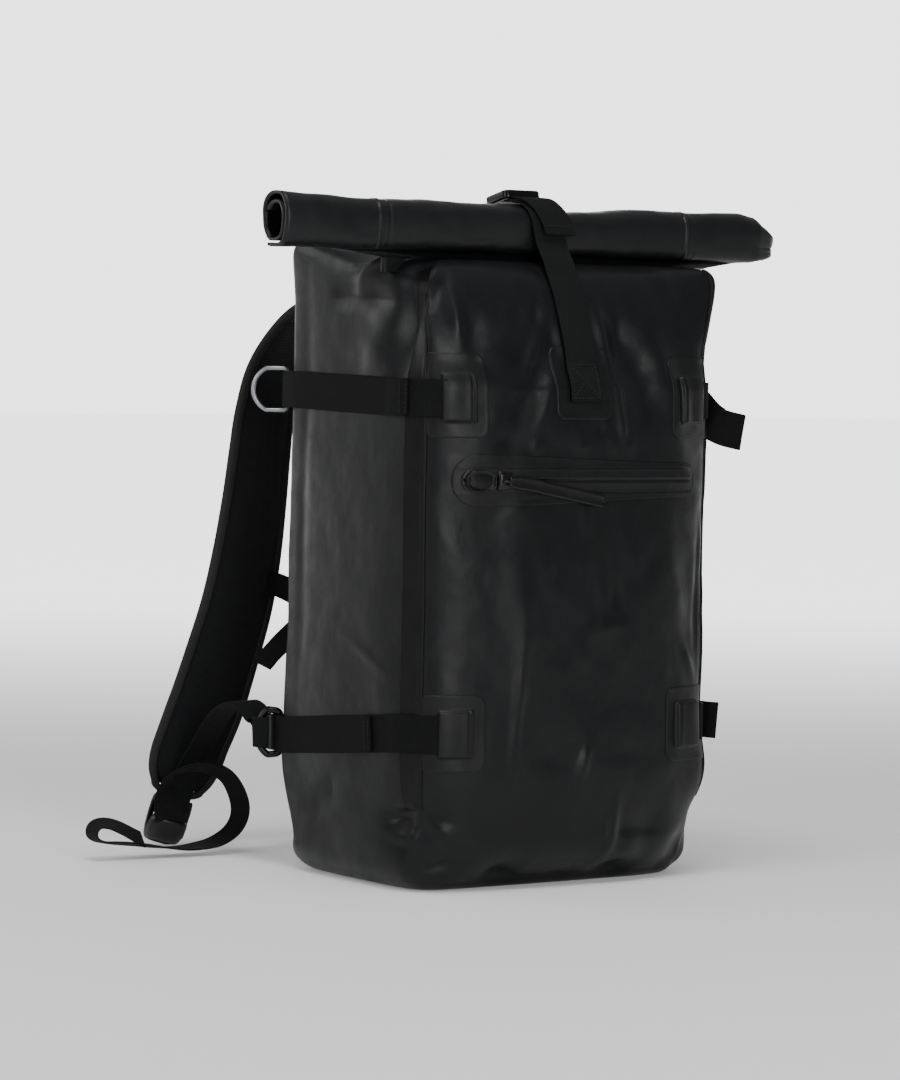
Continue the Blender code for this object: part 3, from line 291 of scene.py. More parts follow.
# Smaller folds, by place along the girth and true height
FOLDS = metres([
    # s,      z,     reach_s, reach_z, lean, depth
    # folds of the front panel round the strap's patch
    (-110, 452, 6, 24, 10, -1.5), (-124, 452, 12, 24, 8, 1.3), (-97, 440, 10, 24, -12, 1.6),
    (-60, 452, 12, 34, -30, -1.8), (-47, 417, 6, 34, -26, -2.2), (-58, 392, 8, 26, -28, 2.4),
    (-37, 385, 6, 22, -20, -1.6), (-35, 452, 9, 12, 0, 1.8), (-22, 436, 6, 12, 0, 1.4),
    (26, 444, 7, 22, 4, -2.2), (44, 440, 10, 20, 0, 3), (34, 392, 4, 30, 8, -1.2),
    (60, 405, 14, 34, 10, 2.2), (88, 398, 13, 50, 14, -2.4),
    # hollows and small bumps above the zip
    (-72, 356, 14, 10, 0, 1.6), (-46, 351, 6, 6, 0, -1), (-3, 352, 6, 5, 0, -0.9),
    (14, 368, 6, 8, 0, 1.2), (28, 352, 5, 6, 0, -0.9), (46, 352, 6, 7, 0, -0.9),
    (37, 366, 4, 10, 10, -0.9),
    # below the zip
    (2, 292, 6, 12, 0, -1.1), (-94, 288, 24, 26, 0, 1.8), (-66, 300, 10, 6, 20, -0.8),
    (-38, 258, 10, 20, 8, -1.2), (33, 236, 8, 20, 8, 1.6), (52, 262, 8, 18, 30, -1),
    (10, 232, 6, 26, 4, 1), (22, 206, 18, 8, 10, -1.2), (1, 186, 8, 12, 0, -1),
    (-52, 210, 14, 40, 6, -1), (-60, 150, 5, 52, -4, -1.8), (-28, 106, 22, 20, 0, 1.3),
    (4, 101, 5, 13, -12, -2), (55, 104, 26, 16, -10, 1.2), (36, 46, 6, 22, -8, -2.2),
    (56, 26, 16, 10, -24, -2.2), (78, 44, 22, 14, -8, 3), (-72, 60, 20, 18, 30, 1.2),
    # right edge
    (116, 178, 4, 14, 28, -1.2), (127, 225, 3, 45, 0, 1.2), (131, 270, 2, 20, 0, -1),
    # pinch at the lower end of the corner seam
    (-158, 60, 13, 6, 6, 3.2), (-152, 44, 16, 6, -6, -2.2), (-126, 65, 11, 6, -34, 2.2),
    (-121, 50, 12, 5, -30, -1.8), (-139, 50, 4, 12, 0, -0.8), (-118, 20, 18, 6, 8, 3),
    (-118, 31, 10, 2, -26, -0.9),
    # side panel
    (-154, 450, 18, 42, 0, 5.8), (-150, 446, 10, 22, 0, 1.6), (-205, 468, 22, 10, -6, 2.2),
    (-244, 470, 18, 10, 4, 1.6), (-196, 430, 20, 24, 0, -1.6), (-300, 300, 8, 150, 0, 1.2),
    (-244, 74, 6, 10, 0, 1.2), (-200, 185, 30, 4, -24, -0.7), (-170, 130, 20, 60, 0, -1.2),
    (-262, 60, 30, 12, 20, 1.6), (190, 440, 22, 26, 14, 3.4), (250, 200, 10, 110, 0, 1.2),
    (210, 70, 30, 12, -16, 1.8), (166, 50, 14, 6, 0, 3.6),
], keep=(4,))


def fold_at(s, z):
    return pressed(FOLDS, s, z, 7, 0.09, 0.20) * lerp(1.35, 1.6, ease((z - 0.36) / 0.06))


def ripple(s, z):
    """Slow waviness of cloth over a soft load."""
    wide = noise.noise(Vector((s * 15.0, z * 11.0, 3.1))) * 0.0019
    fine = noise.noise(Vector((s * 44.0, z * 36.0, 7.7))) * 0.0008
    small = noise.noise(Vector((s * 110.0, z * 90.0, 1.7))) * 0.00018
    front = 1.0 if abs(s) < S_SEAM else 0.55
    return (wide + fine + small) * front


# Fine surface of the sack: a grid of points and outward directions
def fine_columns():
    half = [0.002 * k for k in range(1, 68)] + [S_SEAM - 0.0012, S_SEAM, S_SEAM + 0.0012]
    half += [lerp(S_SEAM, S_SIDE, t) for t in (0.25, 0.5, 0.75)]
    half += [S_SIDE - 0.0008, S_SIDE, S_SIDE + 0.0008]
    half += [lerp(S_SIDE + 0.0025, S_ARC, k / 58) for k in range(59)]
    half += [lerp(S_ARC, S_BACK, k / 11) for k in range(1, 12)]
    half += [lerp(S_BACK, S_END, k / 15) for k in range(1, 15)]
    return [-x for x in reversed(half)] + [0.0] + half + [S_END]


def fine_levels():
    rows = [BASE_RADIUS * (1 - cos(pi / 2 * k / 12)) for k in range(12)]
    rows += [lerp(BASE_RADIUS, SHOULDER_Z, k / 172) for k in range(173)]
    for k in range(4, 80):
        a, b = (k / 80) ** 2.2, (1 - k / 80) ** 2.2
        rows.append(SHOULDER_Z + TOP_RUN * a / (a + b))
    return rows


COLS = np.array(fine_columns())
ROWS = np.array(fine_levels())
POINTS = np.array([[plain(s, v)[:] for s in COLS] for v in ROWS])


def outward(points):
    ds = np.roll(points, -1, axis=1) - np.roll(points, 1, axis=1)
    n = np.cross(ds, np.gradient(points, axis=0))
    return n / np.maximum(np.linalg.norm(n, axis=2, keepdims=True), 1e-12)


# the corner strips round off into the base
soft = POINTS.copy()
for _ in range(60):
    soft = (np.roll(soft, 1, axis=1) + 2 * soft + np.roll(soft, -1, axis=1)) / 4
for j, v in enumerate(ROWS):
    share = 0.85 * ease((0.105 - v) / 0.06)
    if share > 0:
        POINTS[j] = POINTS[j] * (1 - share) + soft[j] * share

OUT = outward(POINTS)
for _ in range(8):
    OUT[1:-1] = (OUT[:-2] + 2 * OUT[1:-1] + OUT[2:]) / 4
for j, v in enumerate(ROWS):
    fade = clamp(v / 0.004) * clamp((0.5198 - v) / 0.02)
    for i, s in enumerate(COLS):
        z = POINTS[j, i, 2]
        inward = pressed(DENTS, s, v, 6) + fold_at(s, z) - ripple(s, z)
        POINTS[j, i] -= OUT[j, i] * inward * fade
OUT = outward(POINTS)


def skin(s, v, off=0.0):
    """Point on the fine surface at s along the girth and level v, moved out by off."""
    j = int(clamp(np.searchsorted(ROWS, v) - 1, 0, len(ROWS) - 2))
    tv = (v - ROWS[j]) / (ROWS[j + 1] - ROWS[j])
    if s <= COLS[0]:
        i, k = len(COLS) - 1, 0
        ts = (s + S_END) / (COLS[0] + S_END)
    else:
        i = int(clamp(np.searchsorted(COLS, s) - 1, 0, len(COLS) - 2))
        k = i + 1
        ts = (s - COLS[i]) / (COLS[k] - COLS[i])
    w = ((1 - ts) * (1 - tv), ts * (1 - tv), (1 - ts) * tv, ts * tv)
    at = ((j, i), (j, k), (j + 1, i), (j + 1, k))
    p = sum(POINTS[a] * b for a, b in zip(at, w))
    if off:
        n = sum(OUT[a] * b for a, b in zip(at, w))
        p = p + n / np.linalg.norm(n) * off
    return Vector(p)


def skin_at(s, z, off=0.0):
    """The same at a true height, also above the shoulder."""
    if z <= SHOULDER_Z:
        return skin(s, z, off)
    low, high = SHOULDER_Z, SHOULDER_Z + 0.088
    for _ in range(18):
        mid = (low + high) / 2
        if skin(s, mid).z < z:
            low = mid
        else:
            high = mid
    return skin(s, low, off)


# Materials
def put(tree, node, wires, values):
    """Sets and wires the inputs of a node; _ in a name stands for a space."""
    for key, value in values.items():
        node.inputs[key.replace("_", " ")].default_value = value
    for key, socket in wires.items():
        tree.links.new(socket, node.inputs[key])
    return node


def add(tree, kind, wires=(), props=(), **values):
    node = tree.nodes.new("ShaderNode" + kind)
    for key, value in dict(props).items():
        setattr(node, key, value)
    return put(tree, node, dict(wires), values)


def principled(name, **values):
    mat = bpy.data.materials.new(name)
    mat.use_nodes = True
    tree = mat.node_tree
    return mat, tree, put(tree, tree.nodes["Principled BSDF"], {}, values)


def place_in(tree, space="Object"):
    return add(tree, "TexCoord").outputs[space]


def noise_node(tree, coord, scale, detail=3.0):
    return add(tree, "TexNoise", {"Vector": coord}, Scale=scale, Detail=detail).outputs["Fac"]


def ramp(tree, fac, low, high):
    """Maps the middle of a 0..1 value to low..high."""
    return add(tree, "MapRange", {"Value": fac}, From_Min=0.3, From_Max=0.7, To_Min=low,
               To_Max=high).outputs["Result"]


def tint(tree, fac, dark, light):
    return add(tree, "Mix", {"Factor": fac}, {"data_type": "RGBA"}, A=(*dark, 1.0),
               B=(*light, 1.0)).outputs["Result"]


def add_bumps(tree, shader, *layers):
    """Bumps laid over each other; layers: (height, depth in metres)."""
    below = {}
    for height, depth in layers:
        bump = add(tree, "Bump", {"Height": height, **below}, Strength=1.0, Distance=depth)
        below = {"Normal": bump.outputs["Normal"]}
    put(tree, shader, below, {})


def wave(tree, axis, period, angle=0.0):
    turned = add(tree, "Mapping", {"Vector": place_in(tree, "UV")}, Rotation=(0, 0, angle))
    return add(tree, "TexWave", {"Vector": turned.outputs["Vector"]},
               {"wave_type": "BANDS", "bands_direction": axis, "wave_profile": "SIN"},
               Scale=2 * pi / (20 * period)).outputs["Fac"]


def coated_cloth(name, dark, light, rough, spec):
    mat, tree, shader = principled(name, Specular_IOR_Level=spec)
    at = place_in(tree)
    cloud = noise_node(tree, at, 9.0, 5.0)
    grain = noise_node(tree, at, 1400.0, 2.0)
    soft_grain = noise_node(tree, at, 70.0)
    put(tree, shader, {"Base Color": tint(tree, cloud, dark, light),
                       "Roughness": ramp(tree, soft_grain, rough - 0.05, rough + 0.06)}, {})
    add_bumps(tree, shader, (grain, 0.00006), (soft_grain, 0.00035))
    return mat


def woven(name, dark, light, period=0.0011, depth=0.00022, spec=0.10):
    """Flat webbing: ribs across it and fine warp threads along it."""
    mat, tree, shader = principled(name, Roughness=0.8, Specular_IOR_Level=spec,
                                   Sheen_Weight=0.0, Sheen_Roughness=0.4)
    at = place_in(tree)
    warp, weft = wave(tree, "Y", period * 0.9), wave(tree, "X", period * 1.3)
    twill = wave(tree, "X", period * 1.8, radians(40))
    weave = add(tree, "Math", {0: warp, 1: weft}, {"operation": "MULTIPLY"}).outputs[0]
    cloud, fuzz = noise_node(tree, at, 60.0, 4.0), noise_node(tree, at, 2600.0, 2.0)
    put(tree, shader, {"Base Color": tint(tree, cloud, dark, light)}, {})
    add_bumps(tree, shader, (weave, depth), (twill, depth * 0.5), (fuzz, 0.00005))
    return mat


def mesh_fabric(name, dark, light):
    """Open spacer mesh: round cells with threads between."""
    mat, tree, shader = principled(name, Roughness=0.92, Specular_IOR_Level=0.15,
                                   Sheen_Weight=0.10)
    at = place_in(tree)
    hole = add(tree, "TexVoronoi", {"Vector": at}, Scale=420.0,
               Randomness=0.35).outputs["Distance"]
    fuzz = noise_node(tree, at, 2400.0, 2.0)
    put(tree, shader, {"Base Color": tint(tree, hole, light, dark)}, {})
    add_bumps(tree, shader, (hole, -0.0004), (fuzz, 0.00006))
    return mat


def moulded(name, colour, rough, spec):
    mat, tree, shader = principled(name, Base_Color=(*colour, 1.0), Specular_IOR_Level=spec)
    at = place_in(tree)
    grain, wear = noise_node(tree, at, 1800.0, 2.0), noise_node(tree, at, 60.0, 4.0)
    put(tree, shader, {"Roughness": ramp(tree, wear, rough - 0.06, rough + 0.08)}, {})
    add_bumps(tree, shader, (grain, 0.00003))
    return mat


def metal(name, colour, rough):
    mat, tree, shader = principled(name, Base_Color=(*colour, 1.0), Metallic=1.0)
    long = add(tree, "Mapping", {"Vector": place_in(tree)}, Scale=(1.0, 1.0, 8.0))
    scratch = noise_node(tree, long.outputs["Vector"], 600.0)
    put(tree, shader, {"Roughness": ramp(tree, scratch, rough - 0.06, rough + 0.10)}, {})
    add_bumps(tree, shader, (scratch, 0.00002))
    return mat


CLOTH = coated_cloth("cloth_look", (0.0060, 0.0064, 0.0071), (0.0086, 0.0091, 0.0100), 0.36, 0.20)
ROLL_CLOTH = coated_cloth("roll_look", (0.0068, 0.0072, 0.0080), (0.0092, 0.0097, 0.0106), 0.38,
                          0.26)
WELD = coated_cloth("weld_look", (0.0050, 0.0053, 0.0059), (0.0068, 0.0072, 0.0079), 0.40, 0.24)
# Darker copy of the cloth for the corner strips: painted shade, since the strips turn away from
# the light
STRIP_PAINTED_SHADE = coated_cloth("strip_painted_shade_look", (0.0026, 0.0028, 0.0031), (0.0036, 0.0038, 0.0042), 0.40, 0.20)
WEBBING = woven("webbing_look", (0.0050, 0.0052, 0.0056), (0.0074, 0.0077, 0.0082))
# Lighter copy of the webbing for the straps that face the lamps: painted light
LIT_WEBBING = woven("lit_webbing_look", (0.0074, 0.0077, 0.0082), (0.0106, 0.0110, 0.0117))
THREAD = woven("thread_look", (0.0150, 0.0155, 0.0160), (0.0220, 0.0225, 0.0230), 0.0006, 0.0001,
               0.22)
MESH = mesh_fabric("mesh_look", (0.0040, 0.0044, 0.0050), (0.0080, 0.0086, 0.0096))
BINDING = woven("binding_look", (0.0200, 0.0198, 0.0196), (0.0290, 0.0287, 0.0284), 0.0008,
                0.00014, 0.14)
PLASTIC = moulded("plastic_look", (0.0036, 0.0038, 0.0041), 0.32, 0.36)
GLOSS = moulded("gloss_look", (0.0034, 0.0036, 0.0039), 0.22, 0.28)
# Lighter copy of the black plastic for the loop flanges: a painted highlight
FACET_PAINTED_HIGHLIGHT = moulded("facet_painted_highlight_look", (0.0120, 0.0125, 0.0130), 0.30, 0.40)
ZIP_CLOTH = coated_cloth("zip_cloth_look", (0.0060, 0.0064, 0.0070), (0.0080, 0.0084, 0.0092),
                         0.42, 0.26)
STEEL = metal("steel_look", (0.34, 0.35, 0.37), 0.28)


# Piece makers

def finish_piece(name, mesh, mat, node=None, smooth=True, body="root"):
    obj = bpy.data.objects.new(name, mesh)
    bpy.context.scene.collection.objects.link(obj)
    mesh.materials.append(mat)
    if smooth:
        mesh.polygons.foreach_set("use_smooth", [True] * len(mesh.polygons))
    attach(obj, body)
    if node:
        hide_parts(node)
    return obj


def grid_mesh(name, rows, ring=False, flip=False):
    """Quads through rows of points, with UV in metres."""
    pts = np.array([[tuple(p) for p in row] for row in rows], float)
    n, m = pts.shape[:2]
    verts = pts.reshape(-1, 3)
    cols = m if ring else m - 1
    a = np.arange(n - 1)[:, None] * m + np.arange(cols)[None, :]
    b = np.arange(n - 1)[:, None] * m + (np.arange(cols)[None, :] + 1) % m
    quads = np.stack([a, b, b + m, a + m], -1).reshape(-1, 4)
    if flip:
        quads = quads[:, ::-1]
    mesh = bpy.data.meshes.new(name)
    mesh.from_pydata(verts.tolist(), [], quads.tolist())
    along, across = (np.cumsum([0.0] + list(np.linalg.norm(np.diff(line, axis=0), axis=1)))
                     for line in (pts[:, m // 2], pts[n // 2]))
    layer = mesh.uv_layers.new(name="UVMap")
    loops = np.zeros(len(mesh.loops), np.int32)
    mesh.loops.foreach_get("vertex_index", loops)
    uv = np.stack([along[loops // m], across[loops % m]], -1)
    layer.data.foreach_set("uv", uv.astype(np.float32).ravel())
    mesh.update()
    return mesh


def spline(points, step):
    """Evenly rounded path through the points, about one step apart."""
    pts = [Vector(p) for p in points]
    out = []
    for i in range(len(pts) - 1):
        p0 = pts[i - 1] if i > 0 else pts[0] * 2 - pts[1]
        p1, p2 = pts[i], pts[i + 1]
        p3 = pts[i + 2] if i + 2 < len(pts) else pts[-1] * 2 - pts[-2]
        count = max(1, int((p2 - p1).length / step))
        for k in range(count):
            t = k / count
            out.append((0.5 * ((2 * p1) + (p2 - p0) * t + (2 * p0 - 5 * p1 + 4 * p2 - p3) * t * t
                               + (3 * p1 - p0 - 3 * p2 + p3) * t ** 3), i + t))
    out.append((pts[-1].copy(), len(pts) - 1))
    return [p for p, _ in out], [k for _, k in out]


def tangents(path):
    return [(path[min(len(path) - 1, i + 1)] - path[max(0, i - 1)]).normalized()
            for i in range(len(path))]


def square_to(direction, tangent):
    d = Vector(direction)
    d -= tangent * d.dot(tangent)
    return d.normalized()


def framed(path, wides, square=True):
    """Run, centre, direction across and face direction at each point of a tape."""
    out, run = [], 0.0
    for i, (p, t, w) in enumerate(zip(path, tangents(path), wides)):
        if i:
            run += (p - path[i - 1]).length
        w = square_to(w, t) if square else w.normalized()
        out.append((run, p, w, t.cross(w).normalized()))
    return out


def web_frames(points, across, step=0.0025, square=True):
    """Frames of a tape through points; across is one direction or one for each point."""
    if isinstance(across, Vector):
        across = [across] * len(points)
    path, keys = spline(points, step)
    wides = []
    for k in keys:
        m = min(int(k), len(across) - 2)
        wides.append(across[m].lerp(across[m + 1], k - m))
    return framed(path, wides, square)


def on_web(frames, run, across, lift):
    """Point at a run along the tape, a distance across it and a lift off its middle."""
    for (r0, p0, w0, n0), (r1, p1, w1, n1) in zip(frames, frames[1:]):
        if run <= r1:
            break
    t = clamp((run - r0) / max(r1 - r0, 1e-9))
    return p0.lerp(p1, t) + w0.lerp(w1, t) * across + n0.lerp(n1, t) * lift


def relaxed(frames, rounds):
    """Evens out the twist and the small kinks of a tape, its ends kept."""
    centres = [f[1].copy() for f in frames]
    wides = [f[2].copy() for f in frames]
    for k in range(rounds):
        wides = [wides[0]] + [(a + 2 * b + c).normalized()
                              for a, b, c in zip(wides, wides[1:], wides[2:])] + [wides[-1]]
        if k < 3:
            centres = [centres[0]] + [(a + 2 * b + c) / 4 for a, b, c in
                                      zip(centres, centres[1:], centres[2:])] + [centres[-1]]
    return framed(centres, wides)


def facing(frames, run, lift, way):
    """The lift, turned over where that takes it to the tape's side that faces way."""
    rise = on_web(frames, run, 0, 0.001) - on_web(frames, run, 0, 0)
    return lift if rise.dot(way) > 0 else -lift


WEB_EDGE = [(-1.0, 0.0), (-0.985, 0.75), (-0.94, 1.08), (-0.88, 1.0), (-0.45, 0.96),
            (0.0, 0.94), (0.45, 0.96), (0.88, 1.0), (0.94, 1.08), (0.985, 0.75)]
WEB_EDGE += [(-u, -q) for u, q in WEB_EDGE]


def web(name, frames, width, mat, node, thick=WEB_THIN, hems=()):
    """Woven tape along its frames; hems: (from, to, extra thickness) in metres along it."""
    rows = []
    for run, p, w, n in frames:
        extra = sum(h * ease((run - f) / 0.0008 + 1) * ease((g - run) / 0.0008 + 1)
                    for f, g, h in hems)
        ht = (thick + extra) / 2
        rows.append([p + w * (u * width / 2) + n * (ht * q) for u, q in WEB_EDGE])
    first = [p.lerp(q, 0.5) for p, q in zip(rows[0], [rows[0][-k] for k in range(20)])]
    last = [p.lerp(q, 0.5) for p, q in zip(rows[-1], [rows[-1][-k] for k in range(20)])]
    return surface(name, [first] + rows + [last], mat, node, ring=True)


def relief(ss, zs, at):
    """Rows of at(s, z, whether it is on the border) over a grid."""
    return [[at(s, z, j in (0, len(zs) - 1) or i in (0, len(ss) - 1)) for i, s in enumerate(ss)]
            for j, z in enumerate(zs)]


def capped(rows):
    """Rows of a closed tube with both ends gathered to their middles."""
    first, last = ([sum(row, Vector()) / len(row)] * len(row) for row in (rows[0], rows[-1]))
    return [first] + rows + [last]


def surface(name, rows, mat, node=None, ring=False, flip=False, body="root"):
    return finish_piece(name, grid_mesh(name, rows, ring, flip), mat, node, body=body)


def spread(a, b, step):
    n = max(2, int(abs(b - a) / step) + 1)
    return [lerp(a, b, i / n) for i in range(n + 1)]


def threads(name, runs, long=0.0024, gap=0.0011, radius=0.00034):
    """Stitches along runs of points: each a small rounded rod let into the surface."""
    verts, faces = [], []
    for run in runs:
        pts = [Vector(p) for p in run]
        lengths = [(b - a).length for a, b in zip(pts, pts[1:])]
        total = sum(lengths)
        count = max(1, int(total / (long + gap)))
        for k in range(count):
            ends = []
            for at in (k * (long + gap), k * (long + gap) + long):
                left, i = min(at, total - 1e-6), 0
                while i < len(lengths) - 1 and left > lengths[i]:
                    left -= lengths[i]
                    i += 1
                ends.append(pts[i].lerp(pts[i + 1], left / max(lengths[i], 1e-9)))
            a, b = ends
            d = (b - a).normalized() if (b - a).length > 1e-9 else Vector((0, 0, 1))
            x = d.orthogonal().normalized()
            y = d.cross(x)
            base = len(verts)
            for t, r in ((0.0, 0.35), (0.18, 1.0), (0.82, 1.0), (1.0, 0.35)):
                for q in range(6):
                    g = q * pi / 3
                    verts.append(a.lerp(b, t) + (x * cos(g) + y * sin(g)) * radius * r)
            for ring in range(3):
                for q in range(6):
                    f = base + ring * 6
                    faces.append((f + q, f + (q + 1) % 6, f + 6 + (q + 1) % 6, f + 6 + q))
            faces.append(tuple(base + q for q in range(5, -1, -1)))
            faces.append(tuple(base + 18 + q for q in range(6)))
    mesh = bpy.data.meshes.new(name)
    mesh.from_pydata([tuple(v) for v in verts], [], faces)
    return finish_piece(name, mesh, THREAD)


def tube(name, points, radius, mat, node=None, closed=False, body="root", flat=None):
    """Round rod along points; flat gives (direction, share) for an oval one."""
    path = [Vector(p) for p in points]
    n = len(path)
    rows, side = [], None
    for i, p in enumerate(path):
        a = path[(i - 1) % n] if closed else path[max(0, i - 1)]
        b = path[(i + 1) % n] if closed else path[min(n - 1, i + 1)]
        t = (b - a).normalized()
        if flat:
            side, thin = square_to(flat[0], t), flat[1]
        else:
            side, thin = (square_to(side, t) if side else t.orthogonal().normalized()), 1.0
        up = t.cross(side)
        rows.append([p + side * (radius * thin * cos(g)) + up * (radius * sin(g))
                     for g in [q * pi / 8 for q in range(16)]])
    if closed:
        rows.append(rows[0])
    else:
        rows = [[path[0]] * 16] + rows + [[path[-1]] * 16]
    return surface(name, rows, mat, node, ring=True, body=body)


def plate(name, outline, holes, half_thick, bevel, origin, ax, ay, mat, node):
    """Moulded part: a flat outline with holes, its edges rounded over."""
    curve = bpy.data.curves.new(name, "CURVE")
    curve.dimensions = "2D"
    curve.fill_mode = "BOTH"
    curve.extrude = half_thick - bevel
    curve.bevel_depth = bevel
    curve.bevel_resolution = 4
    curve.offset = -bevel * 0.5
    for loop in [outline] + list(holes):
        line = curve.splines.new("POLY")
        line.points.add(len(loop) - 1)
        for point, (x, y) in zip(line.points, loop):
            point.co = (x, y, 0.0, 1.0)
        line.use_cyclic_u = True
    az = Vector(ax).cross(Vector(ay)).normalized()
    temp = bpy.data.objects.new(name + "_curve", curve)
    bpy.context.scene.collection.objects.link(temp)
    bpy.context.view_layer.update()
    mesh = bpy.data.meshes.new_from_object(temp)
    bpy.data.objects.remove(temp)
    mesh.transform(Matrix([(ax[k], ay[k], az[k], origin[k]) for k in range(3)] + [(0, 0, 0, 1)]))
    mesh.materials.clear()
    return finish_piece(name, mesh, mat, node, smooth=False)


def round_box(wide, high, radius, steps=6):
    pts = []
    for cx, cy, start in ((wide / 2 - radius, high / 2 - radius, 0),
                          (-wide / 2 + radius, high / 2 - radius, 90),
                          (-wide / 2 + radius, -high / 2 + radius, 180),
                          (wide / 2 - radius, -high / 2 + radius, 270)):
        for k in range(steps + 1):
            a = radians(start + 90 * k / steps)
            pts.append((cx + radius * cos(a), cy + radius * sin(a)))
    return pts


# Sack
def sack():
    rows = [[Vector(p) for p in row] for row in POINTS]
    top = [neck(s) for s in COLS]
    # the last outer row reaches up into the roll and runs the roll's length
    flare = (ROLL_RIGHT - 0.008) / NECK_HALF
    tuck_z = MOUTH_Z + 0.0045
    rows += [top, [Vector((p.x * (flare / NECK_RIGHT if p.x > 0 else flare), p.y, tuck_z))
                   for p in top]]
    inner = []
    for p in top:
        c = Vector((clamp(p.x, -NECK_HALF + 0.006, NECK_HALF - 0.006), NECK_Y, MOUTH_Z))
        inner.append(Vector((c.x + (p.x - c.x) * 0.6, c.y + (p.y - c.y) * 0.6, MOUTH_Z)))
    rows += [inner, [p - UP * 0.016 for p in inner]]
    tube_mesh = grid_mesh("sack", rows, ring=True)
    mesh = bpy.data.meshes.new("sack_cloth")
    faces = [tuple(p.vertices) for p in tube_mesh.polygons]
    faces.append(tuple(reversed(range(len(COLS)))))
    mesh.from_pydata([v.co[:] for v in tube_mesh.vertices], [], faces)
    bpy.data.meshes.remove(tube_mesh)
    finish_piece("sack_cloth", mesh, CLOTH, "sack_shell")
    mesh.polygons[len(faces) - 1].use_smooth = False


sack()

# Welded strips down the two front corners
TAPE_RIM = 0.0008
for side, word in SIDES:
    s_in, s_out = S_SEAM - 0.0022, S_SIDE + 0.0004
    ss = [side * x for x in ([s_in, s_in + 0.0003, s_in + 0.0008, s_in + 0.0016]
                             + [lerp(s_in + 0.003, s_out - 0.0020, k / 8) for k in range(9)]
                             + [s_out - 0.0010, s_out - 0.0004, s_out])]
    vs = [0.0640] + [float(v) for v in ROWS if 0.0645 < v < SHOULDER_Z + 0.074]
    # the corner tapes take the darker strip cloth, which paints shade onto them
    surface("seam_tape_" + word, relief(ss, vs, lambda s, v, border: skin(
        s, v, SUNK if border else (0.0010 + (TAPE_RIM if s in ss[1:4] else 0.0))
        * (0.35 + 0.65 * ease((v - 0.066) / 0.03)))), STRIP_PAINTED_SHADE, "corner_seam_" + word, flip=side < 0)


# Welded patches with a raised pocket
POCKET_MOUTH = 0.1250
POCKET_END = 0.0998
PATCH_END = 0.0890


def patch(word, side, z_low, z_high, z_mid, level):
    r, half_high = 0.0095, 0.0185
    s0, s1 = PATCH_END, S_SEAM - 0.0008
    us = [0.0, 0.008, 0.02, 0.035] + [lerp(0.05, 0.95, k / 52) for k in range(53)]
    us += [0.965, 0.98, 0.992, 1.0]
    zs = [z_low, z_low + 0.0004, z_low + 0.0010, z_low + 0.0018]
    zs += [lerp(z_low + 0.003, z_high - 0.003, k / 56) for k in range(57)]
    zs += [z_high - 0.0018, z_high - 0.0010, z_high - 0.0004, z_high]

    def at(s, z, border):
        edge = min(z - z_low, z_high - z)
        cut = corner_cut(edge, r)
        a = lerp(s0 + cut, s1 - 0.25 * cut, (s - s0) / (s1 - s0))
        if border:
            return skin_at(side * a, z, SUNK)
        near = min(edge, a - s0 - cut, s1 - 0.25 * cut - a)
        h = 0.0009 + 0.0001 * hump(near - 0.0022, 0.0011)
        inside = min(POCKET_MOUTH + 0.001 - a, a - POCKET_END, half_high - abs(z - z_mid))
        if inside > -0.002:
            body = ease((inside + 0.0004) / 0.0016)
            mouth = 0.0032 + 0.0012 * ease((a - 0.108) / 0.014)
            swell = 0.0006 * cos((z - z_mid) / half_high * pi / 2)
            h += body * (mouth - 0.0006 + swell)
            h += (0.0013 * hump(a - POCKET_END - 0.0016, 0.0007)
                  * ease((half_high - abs(z - z_mid)) / 0.001))
            h -= 0.0007 * hump(a - POCKET_END - 0.0034, 0.0009) * body
        return skin_at(side * a, z, h)

    rows = relief([lerp(s0, s1, u) for u in us], zs, at)
    surface("%s_weld_patch_%s" % (level, word), rows, WELD, "%s_patch_%s" % (level, word),
            flip=side < 0)


for side, word in SIDES:
    patch(word, side, 0.3580, 0.4245, UPPER_Z, "upper")
    patch(word, side, 0.0960, 0.1570, LOWER_Z, "lower")


# Short webbing ends out of the pockets
def strap_z(s, z_front, z_back):
    """Height of a side strap at s along the girth."""
    return lerp(z_front, z_back, clamp((s - S_SIDE) / (S_ARC - S_SIDE)))


for side, word in SIDES:
    for level, z_mid, z_back, more in (("upper", UPPER_Z, UPPER_BACK_Z, []),
                                       ("lower", LOWER_Z, LOWER_BACK_Z, [S_SIDE + 0.040])):
        path = []
        for s in [0.1225, 0.1266, 0.1290, 0.1325, S_SEAM, S_SIDE, S_SIDE + 0.010] + more:
            off = 0.0025 if s <= S_SIDE + 0.001 else (0.0018 if s < S_SIDE + 0.012 else 0.0007)
            path.append(skin_at(side * s, strap_z(s, z_mid, z_back), off + WEB_THIN / 2))
        web("%s_web_end_%s" % (level, word), web_frames(path, UP), WEB, WEBBING,
            "%s_stub_%s" % (level, word))

# Side straps
BAR_ANGLE = radians(60)
BAR_OUT = 0.0062
BAR_RADIUS = 0.0017
RING_WAY = radians(34)    # the rings point this far back from straight out
STITCH_HALF = 0.0125      # half the width of the stitching on the wide webbing


def bar_centre(side, z):
    reach = BACK_RADIUS + BAR_OUT
    swell = max(0.0, keyed(BACK_SWELL, z))
    return Vector((side * (BODY_WIDTH / 2 - BACK_RADIUS + reach * cos(BAR_ANGLE)),
                   BACK_Y - BACK_RADIUS + swell + reach * sin(BAR_ANGLE), z))


def away_from(side):
    """The way a ring points out of its strap loop, and the way behind its plane."""
    return (Vector((side * cos(RING_WAY), sin(RING_WAY), 0)),
            Vector((-side * sin(RING_WAY), cos(RING_WAY), 0)))


